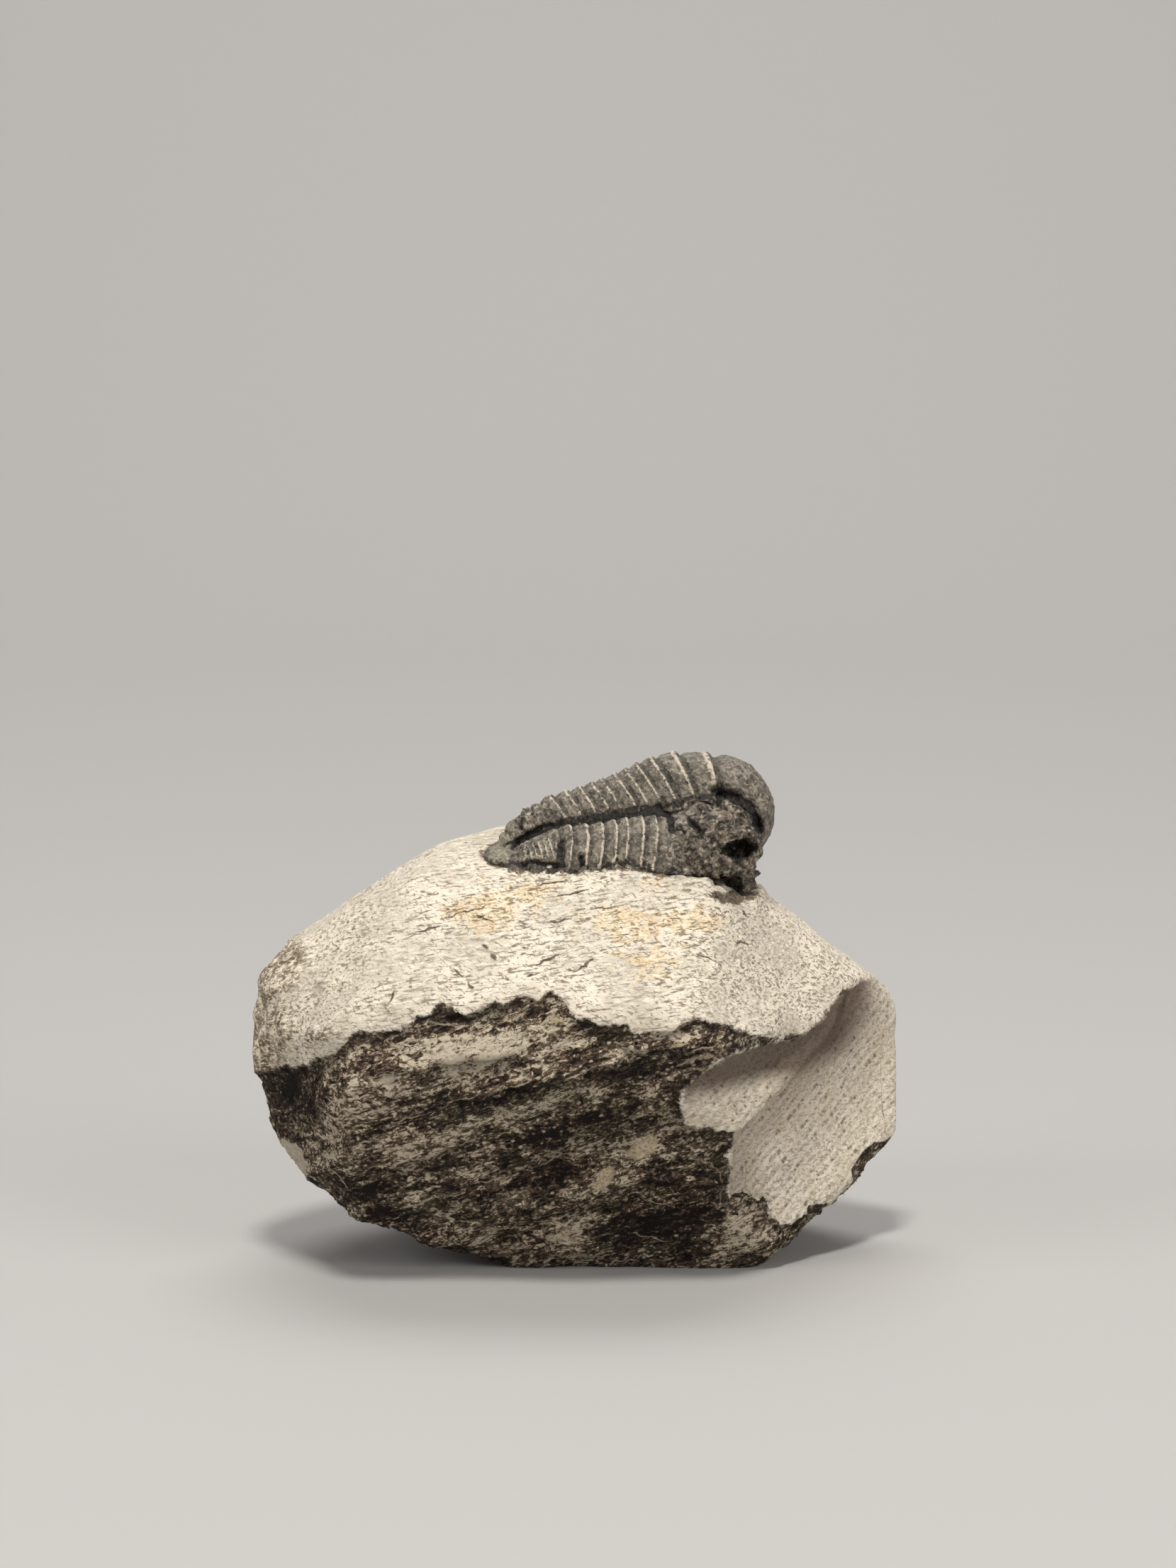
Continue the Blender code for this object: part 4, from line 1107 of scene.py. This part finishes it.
def fossil_finish():
    material, tree, shader, place = new_finish("petrified shell")
    lip, groove, furrow, lump, head = read_marks(tree, "lip", "groove", "furrow", "lump", "head")
    tail, clear, hollow, carved = read_marks(tree, "tail", "clear", "hollow", "carved")
    riblets, rough = read_marks(tree, "riblets", "rough")
    fine = grain(place, 3.6, 4.0, 0.62)
    patchy = grain(place, 1.1, 3.0, 0.6, 0.3)
    centred = fine - 0.5
    blotch = grain(place, 2.0, 3.0, 0.6, 0.5)

    # Mottled shell, with the rock that it grades into and the greenish rim of the tail
    shell = blend(rise(patchy, 0.38, 0.64), tint(90, 84, 74), tint(136, 127, 113))
    shell = blend(rise(blotch, 0.54, 0.68, 0.0, 0.5), shell, tint(176, 164, 146))
    shell = blend(rise(blotch, 0.46, 0.34, 0.0, 0.65), shell, tint(52, 46, 39))
    shell = blend(rise(fine, 0.53, 0.66, 0.0, 0.55), shell, tint(192, 180, 161))
    shell = blend(rise(fine, 0.44, 0.34, 0.0, 0.7), shell, tint(46, 40, 34))
    matrix = blend(rise(blotch, 0.38, 0.62), tint(50, 43, 35), tint(134, 121, 104))
    matrix = blend(rise(fine, 0.52, 0.68, 0.0, 0.5), matrix, tint(170, 156, 136))
    shell = blend(lump * 0.8, shell, matrix)
    rim = blend(rise(fine, 0.4, 0.62), tint(138, 134, 114), tint(172, 165, 144))
    shell = blend(tail * 0.9, shell, rim)
    craggy = rise(rough, 0.45, 0.85)
    # Where the shell is rough, near-black blotches are painted shade as of cavities and pale blotches are painted
    # highlights as of crags, placed by noise
    shell = blend(craggy * rise(blotch, 0.47, 0.39, 0.0, 0.75), shell, tint(30, 25, 20))
    shell = blend(craggy * rise(blotch, 0.57, 0.66, 0.0, 0.6), shell, tint(204, 191, 169))

    # Lips and riblet crests lighter, partly rubbed pale and partly painted highlight; painted shade in grooves,
    # furrows, carved lines and hollows, and darker along the foot where the shell meets the stone
    wear_and_light = combine("MAXIMUM", lip * rise(blotch, 0.36, 0.58, 0.62, 1.15), riblets * 1.08)
    wear_and_light = rise(wear_and_light + centred * 1.1, 0.38, 0.9)
    shell = blend(wear_and_light * 0.85, shell, tint(218, 204, 184))
    # Painted shade in the grooves, furrows, carved lines and hollows, and darker along the foot where the shell meets
    # the stone
    deep = combine("MAXIMUM", groove * 0.7, furrow)
    stone_line = rise(clear + centred, 0.05, 0.65, 0.75, 0.0)
    for part in (rise(carved + centred * 0.6, 0.15, 0.6, 0.0, 0.96), hollow * 0.97, stone_line):
        deep = combine("MAXIMUM", deep, part)
    shell = blend(deep, shell, tint(24, 20, 17))

    # Light flecks, partly painted glints, and pin holes
    cell_distance, lot, _ = cells_and_lots(place, 2.6)
    fleck_and_glint = rise(lot, 0.86, 0.92) * rise(cell_distance, 0.16, 0.42, 1.0, 0.0)
    shell = blend(fleck_and_glint * rise(lump, 0.0, 1.0, 0.3, 0.7), shell, tint(208, 194, 172))
    rocky = combine("MAXIMUM", head, lump)
    pin_holes = rise(spots(place, 1.9) + centred * 0.5, 0.1, 0.24, 0.75, 0.0) * combine("ADD", 0.25, rocky, clamp=True)
    shell = blend(pin_holes, shell, tint(38, 32, 27))

    pitted = spots(place, 2.2, "SMOOTH_F1") * (0.04 + rocky * 0.36)
    relief = fine * rise(lump, 0.0, 1.0, 0.22, 0.42) + blotch * 0.25 + pitted
    dress(shader, shell, rise(fine, 0.3, 0.7, 0.4, 0.68), 0.5, relief, 0.85)
    return material


# ---------------------------------------------------------------- relief and grains made by geometry nodes

FULL_TURN = (6.283,) * 3


def new_tree(name, sizes):
    """A geometry tree with inputs given as name: (kind, value), and the wires from them and from the mesh."""
    tree = bpy.data.node_groups.new(name, "GeometryNodeTree")
    tree.interface.new_socket("Geometry", in_out="INPUT", socket_type="NodeSocketGeometry")
    for label, (kind, _) in sizes.items():
        tree.interface.new_socket(label, in_out="INPUT", socket_type=kind)
    tree.interface.new_socket("Geometry", in_out="OUTPUT", socket_type="NodeSocketGeometry")
    given = put(tree, "NodeGroupInput")
    return tree, {label: Wire(given.outputs[label]) for label in ("Geometry", *sizes)}


def run_tree(piece, tree, sizes):
    """Puts the tree on the piece with its sizes set by socket identifier, and makes the result its plain mesh."""
    modifier = piece.modifiers.new(tree.name, "NODES")
    modifier.node_group = tree
    sockets = {item.name: item.identifier for item in tree.interface.items_tree if item.in_out == "INPUT"}
    for label, (_, value) in sizes.items():
        modifier[sockets[label]] = value
    bake(piece)


def named(tree, name):
    return give(tree, "GeometryNodeInputNamedAttribute", {"Name": name}, data_type="FLOAT")


def vary(tree, kind, low, high, seed, shift):
    """A random number or vector from low to high for each point."""
    low_slot, high_slot, output = {"FLOAT": (2, 3, 1), "FLOAT_VECTOR": (0, 1, 0)}[kind]
    inputs = {low_slot: low, high_slot: high, "Seed": seed + shift}
    return give(tree, "FunctionNodeRandomValue", inputs, output=output, data_type=kind)


def roughen(tree, skin, depth, size, share, stretch=(1.0, 1.0, 1.0), turn=0.0, detail=4.0):
    """Moves the skin along its normals by noise of the given depth and size, where the share says so."""
    place = give(tree, "GeometryNodeInputPosition")
    inputs = {"Vector": place, "Angle": math.radians(turn)}
    turned = give(tree, "ShaderNodeVectorRotate", inputs, rotation_type="Y_AXIS")
    bumps = grain(vector("MULTIPLY", turned, stretch), combine("DIVIDE", 1.0, size), detail, 0.62)
    offset = vector("SCALE", give(tree, "GeometryNodeInputNormal"), (bumps - 0.5) * depth * share)
    return give(tree, "GeometryNodeSetPosition", {"Geometry": skin, "Offset": offset})


def scatter(tree, skin, density, given, flatness):
    """Small faceted crumbs standing in the skin at random."""
    seed = given["Grain seed"]
    inputs = {"Mesh": skin, "Density": density, "Seed": seed}
    points = give(tree, "GeometryNodeDistributePointsOnFaces", inputs, distribute_method="RANDOM")
    crumb = give(tree, "GeometryNodeMeshUVSphere", {"Segments": 4, "Rings": 2, "Radius": 1.0})
    size = vary(tree, "FLOAT", given["Smallest grain"], given["Largest grain"], seed, 1.0)
    turn = vary(tree, "FLOAT_VECTOR", (0.0,) * 3, FULL_TURN, seed, 2.0)
    inputs = {"Points": points, "Instance": crumb, "Rotation": turn, "Scale": vector("SCALE", flatness, size)}
    placed = give(tree, "GeometryNodeInstanceOnPoints", inputs)
    return give(tree, "GeometryNodeSetShadeSmooth", {"Geometry": placed, "Shade Smooth": False})


def finish_tree(tree, skin, grains, finish):
    """Joins the grains to the skin as one plain mesh of one finish, and sends it out of the tree."""
    joined = put(tree, "GeometryNodeJoinGeometry")
    for part in (grains, skin):
        tree.links.new(part.socket, joined.inputs[0])
    realized = give(tree, "GeometryNodeRealizeInstances", {"Geometry": Wire(joined.outputs[0])})
    finished = give(tree, "GeometryNodeSetMaterial", {"Geometry": realized, "Material": finish})
    put(tree, "NodeGroupOutput", {0: finished})


def weather_block(block, finish):
    """Crumbles the dark break, scribes the top and scatters loose grains over the break."""
    sizes = {
        "Crumb size": ("NodeSocketFloat", 1.7 * MM),
        "Crumb depth": ("NodeSocketFloat", 1.35 * MM),
        "Stroke size": ("NodeSocketFloat", 0.75 * MM),
        "Stroke depth": ("NodeSocketFloat", 0.16 * MM),
        "Grains per square metre": ("NodeSocketFloat", 1.5e6),
        "Smallest grain": ("NodeSocketFloat", 0.06 * MM),
        "Largest grain": ("NodeSocketFloat", 0.19 * MM),
        "Grain seed": ("NodeSocketInt", 4),
        "Finish": ("NodeSocketMaterial", finish),
    }
    tree, given = new_tree("weathered limestone", sizes)
    broken, scribed = named(tree, "broken"), named(tree, "scribed")
    crumb_stretch, stroke_stretch = (0.6, 0.8, 1.5), (0.5, 0.9, 2.2)
    skin = roughen(tree, given["Geometry"], given["Crumb depth"], given["Crumb size"], broken, crumb_stretch, 20.0)
    skin = roughen(tree, skin, given["Stroke depth"], given["Stroke size"], scribed, stroke_stretch, 8.0, 2.0)
    density = combine("POWER", broken, 2.0) * given["Grains per square metre"]
    finish_tree(tree, skin, scatter(tree, skin, density, given, (1.0, 0.8, 0.6)), given["Finish"])
    run_tree(block, tree, sizes)


def pit_trilobite(piece, finish):
    """Pits the shell, and studs its head and the rock beside it with small grains."""
    sizes = {
        "Pit size": ("NodeSocketFloat", 0.9 * MM),
        "Pit depth": ("NodeSocketFloat", 0.60 * MM),
        "Grains per square metre": ("NodeSocketFloat", 3.0e6),
        "Smallest grain": ("NodeSocketFloat", 0.05 * MM),
        "Largest grain": ("NodeSocketFloat", 0.13 * MM),
        "Grain seed": ("NodeSocketInt", 9),
        "Finish": ("NodeSocketMaterial", finish),
    }
    tree, given = new_tree("pitted shell", sizes)
    skin = roughen(tree, given["Geometry"], given["Pit depth"], given["Pit size"], named(tree, "rough"))
    above = combine("GREATER_THAN", named(tree, "clear"), 0.1)
    density = named(tree, "lump") * above * given["Grains per square metre"]
    finish_tree(tree, skin, scatter(tree, skin, density, given, (1.0, 0.9, 0.7)), given["Finish"])
    run_tree(piece, tree, sizes)


def keep_in_box(piece):
    """Holds every point inside the part's own box."""
    points = read_points(piece, "co") / MM
    low, high = np.array(cad_low) / MM, np.array(cad_high) / MM
    move_points(piece, np.clip(points, low, high))


# ---------------------------------------------------------------- floor, light and camera


FLOOR_FRONT, FLOOR_BACK, FLOOR_TOP, FLOOR_HALF_WIDTH = -1200.0, 500.0, 2000.0, 2500.0
FLOOR_BEND = 400.0
BEND_POINTS = 24
FLOOR_COLOUR = (0.46, 0.45, 0.44, 1.0)
FLOOR_ROUGHNESS = 0.9

# Each light's name, place, aim, size, power and colour
MIDDLE = (0.0, 0.0, 0.02)
LIGHTS = (
    ("key", (-0.02, -0.27, 0.60), MIDDLE, 0.11, 2.6, (1.0, 0.965, 0.915)),
    ("fill", (0.42, -0.42, 0.26), MIDDLE, 0.40, 1.5, (1.0, 0.985, 0.96)),
    ("back", (0.0, 0.55, 0.9), (0.0, 0.6, 0.1), 0.8, 6.0, (1.0, 0.99, 0.97)),
    ("left fill", (-0.48, -0.30, 0.30), MIDDLE, 0.30, 0.9, (1.0, 0.985, 0.96)),
)
STUDIO_COLOUR = (0.78, 0.77, 0.76, 1.0)
STUDIO_POWER = 0.20


def make_floor():
    """Pale floor that sweeps up behind the block."""
    bend = np.linspace(0.0, math.pi / 2.0, BEND_POINTS)
    sweep = [(FLOOR_BACK + FLOOR_BEND * math.sin(t), FLOOR_BEND * (1.0 - math.cos(t))) for t in bend]
    profile = [(FLOOR_FRONT, 0.0), *sweep, (FLOOR_BACK + FLOOR_BEND, FLOOR_TOP)]
    points = np.array([(side * FLOOR_HALF_WIDTH, y, z) for y, z in profile for side in (-1.0, 1.0)])
    faces = np.array([(2 * i, 2 * i + 1, 2 * i + 3, 2 * i + 2) for i in range(len(profile) - 1)])
    floor = new_mesh("floor", points, faces)
    floor.data.shade_smooth()
    material, _, shader, _ = new_finish("pale floor")
    shader.inputs["Base Color"].default_value = FLOOR_COLOUR
    shader.inputs["Roughness"].default_value = FLOOR_ROUGHNESS
    floor.data.materials.append(material)


def add_light(name, place, aim, size, power, colour):
    light = bpy.data.lights.new(name, "AREA")
    light.shape = "DISK"
    light.size = size
    light.energy = power
    light.color = colour
    lamp = bpy.data.objects.new(name, light)
    lamp.location = place
    lamp.rotation_euler = (Vector(aim) - Vector(place)).to_track_quat("-Z", "Y").to_euler()
    bpy.context.scene.collection.objects.link(lamp)


def add_lights():
    for light in LIGHTS:
        add_light(*light)
    world = bpy.data.worlds.new("studio")
    world.use_nodes = True
    background = world.node_tree.nodes["Background"]
    background.inputs["Color"].default_value = STUDIO_COLOUR
    background.inputs["Strength"].default_value = STUDIO_POWER
    bpy.context.scene.world = world
    bpy.context.scene.view_settings.view_transform = "Standard"


def add_camera():
    eye, across, up, forward = sight_lines()
    lens = bpy.data.cameras.new("camera")
    lens.sensor_width = SENSOR
    lens.lens = SENSOR * EYE_DISTANCE / (PICTURE[1] * PIXEL)
    lens.clip_start = 0.01
    camera = bpy.data.objects.new("camera", lens)
    turn = Matrix((across, up, -forward)).transposed()
    camera.matrix_world = Matrix.Translation(Vector(eye) * MM) @ turn.to_4x4()
    bpy.context.scene.collection.objects.link(camera)
    bpy.context.scene.camera = camera


add_camera()
add_lights()
make_floor()

trilobite, collar_tree = make_trilobite()
pit_trilobite(trilobite, fossil_finish())
block = make_block(collar_tree)
weather_block(block, limestone_finish())
for piece, node, slot in ((block, "limestone_block", "limestone"), (trilobite, "trilobite", "dark_fossil")):
    keep_in_box(piece)
    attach(piece, "root")
    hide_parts(node)
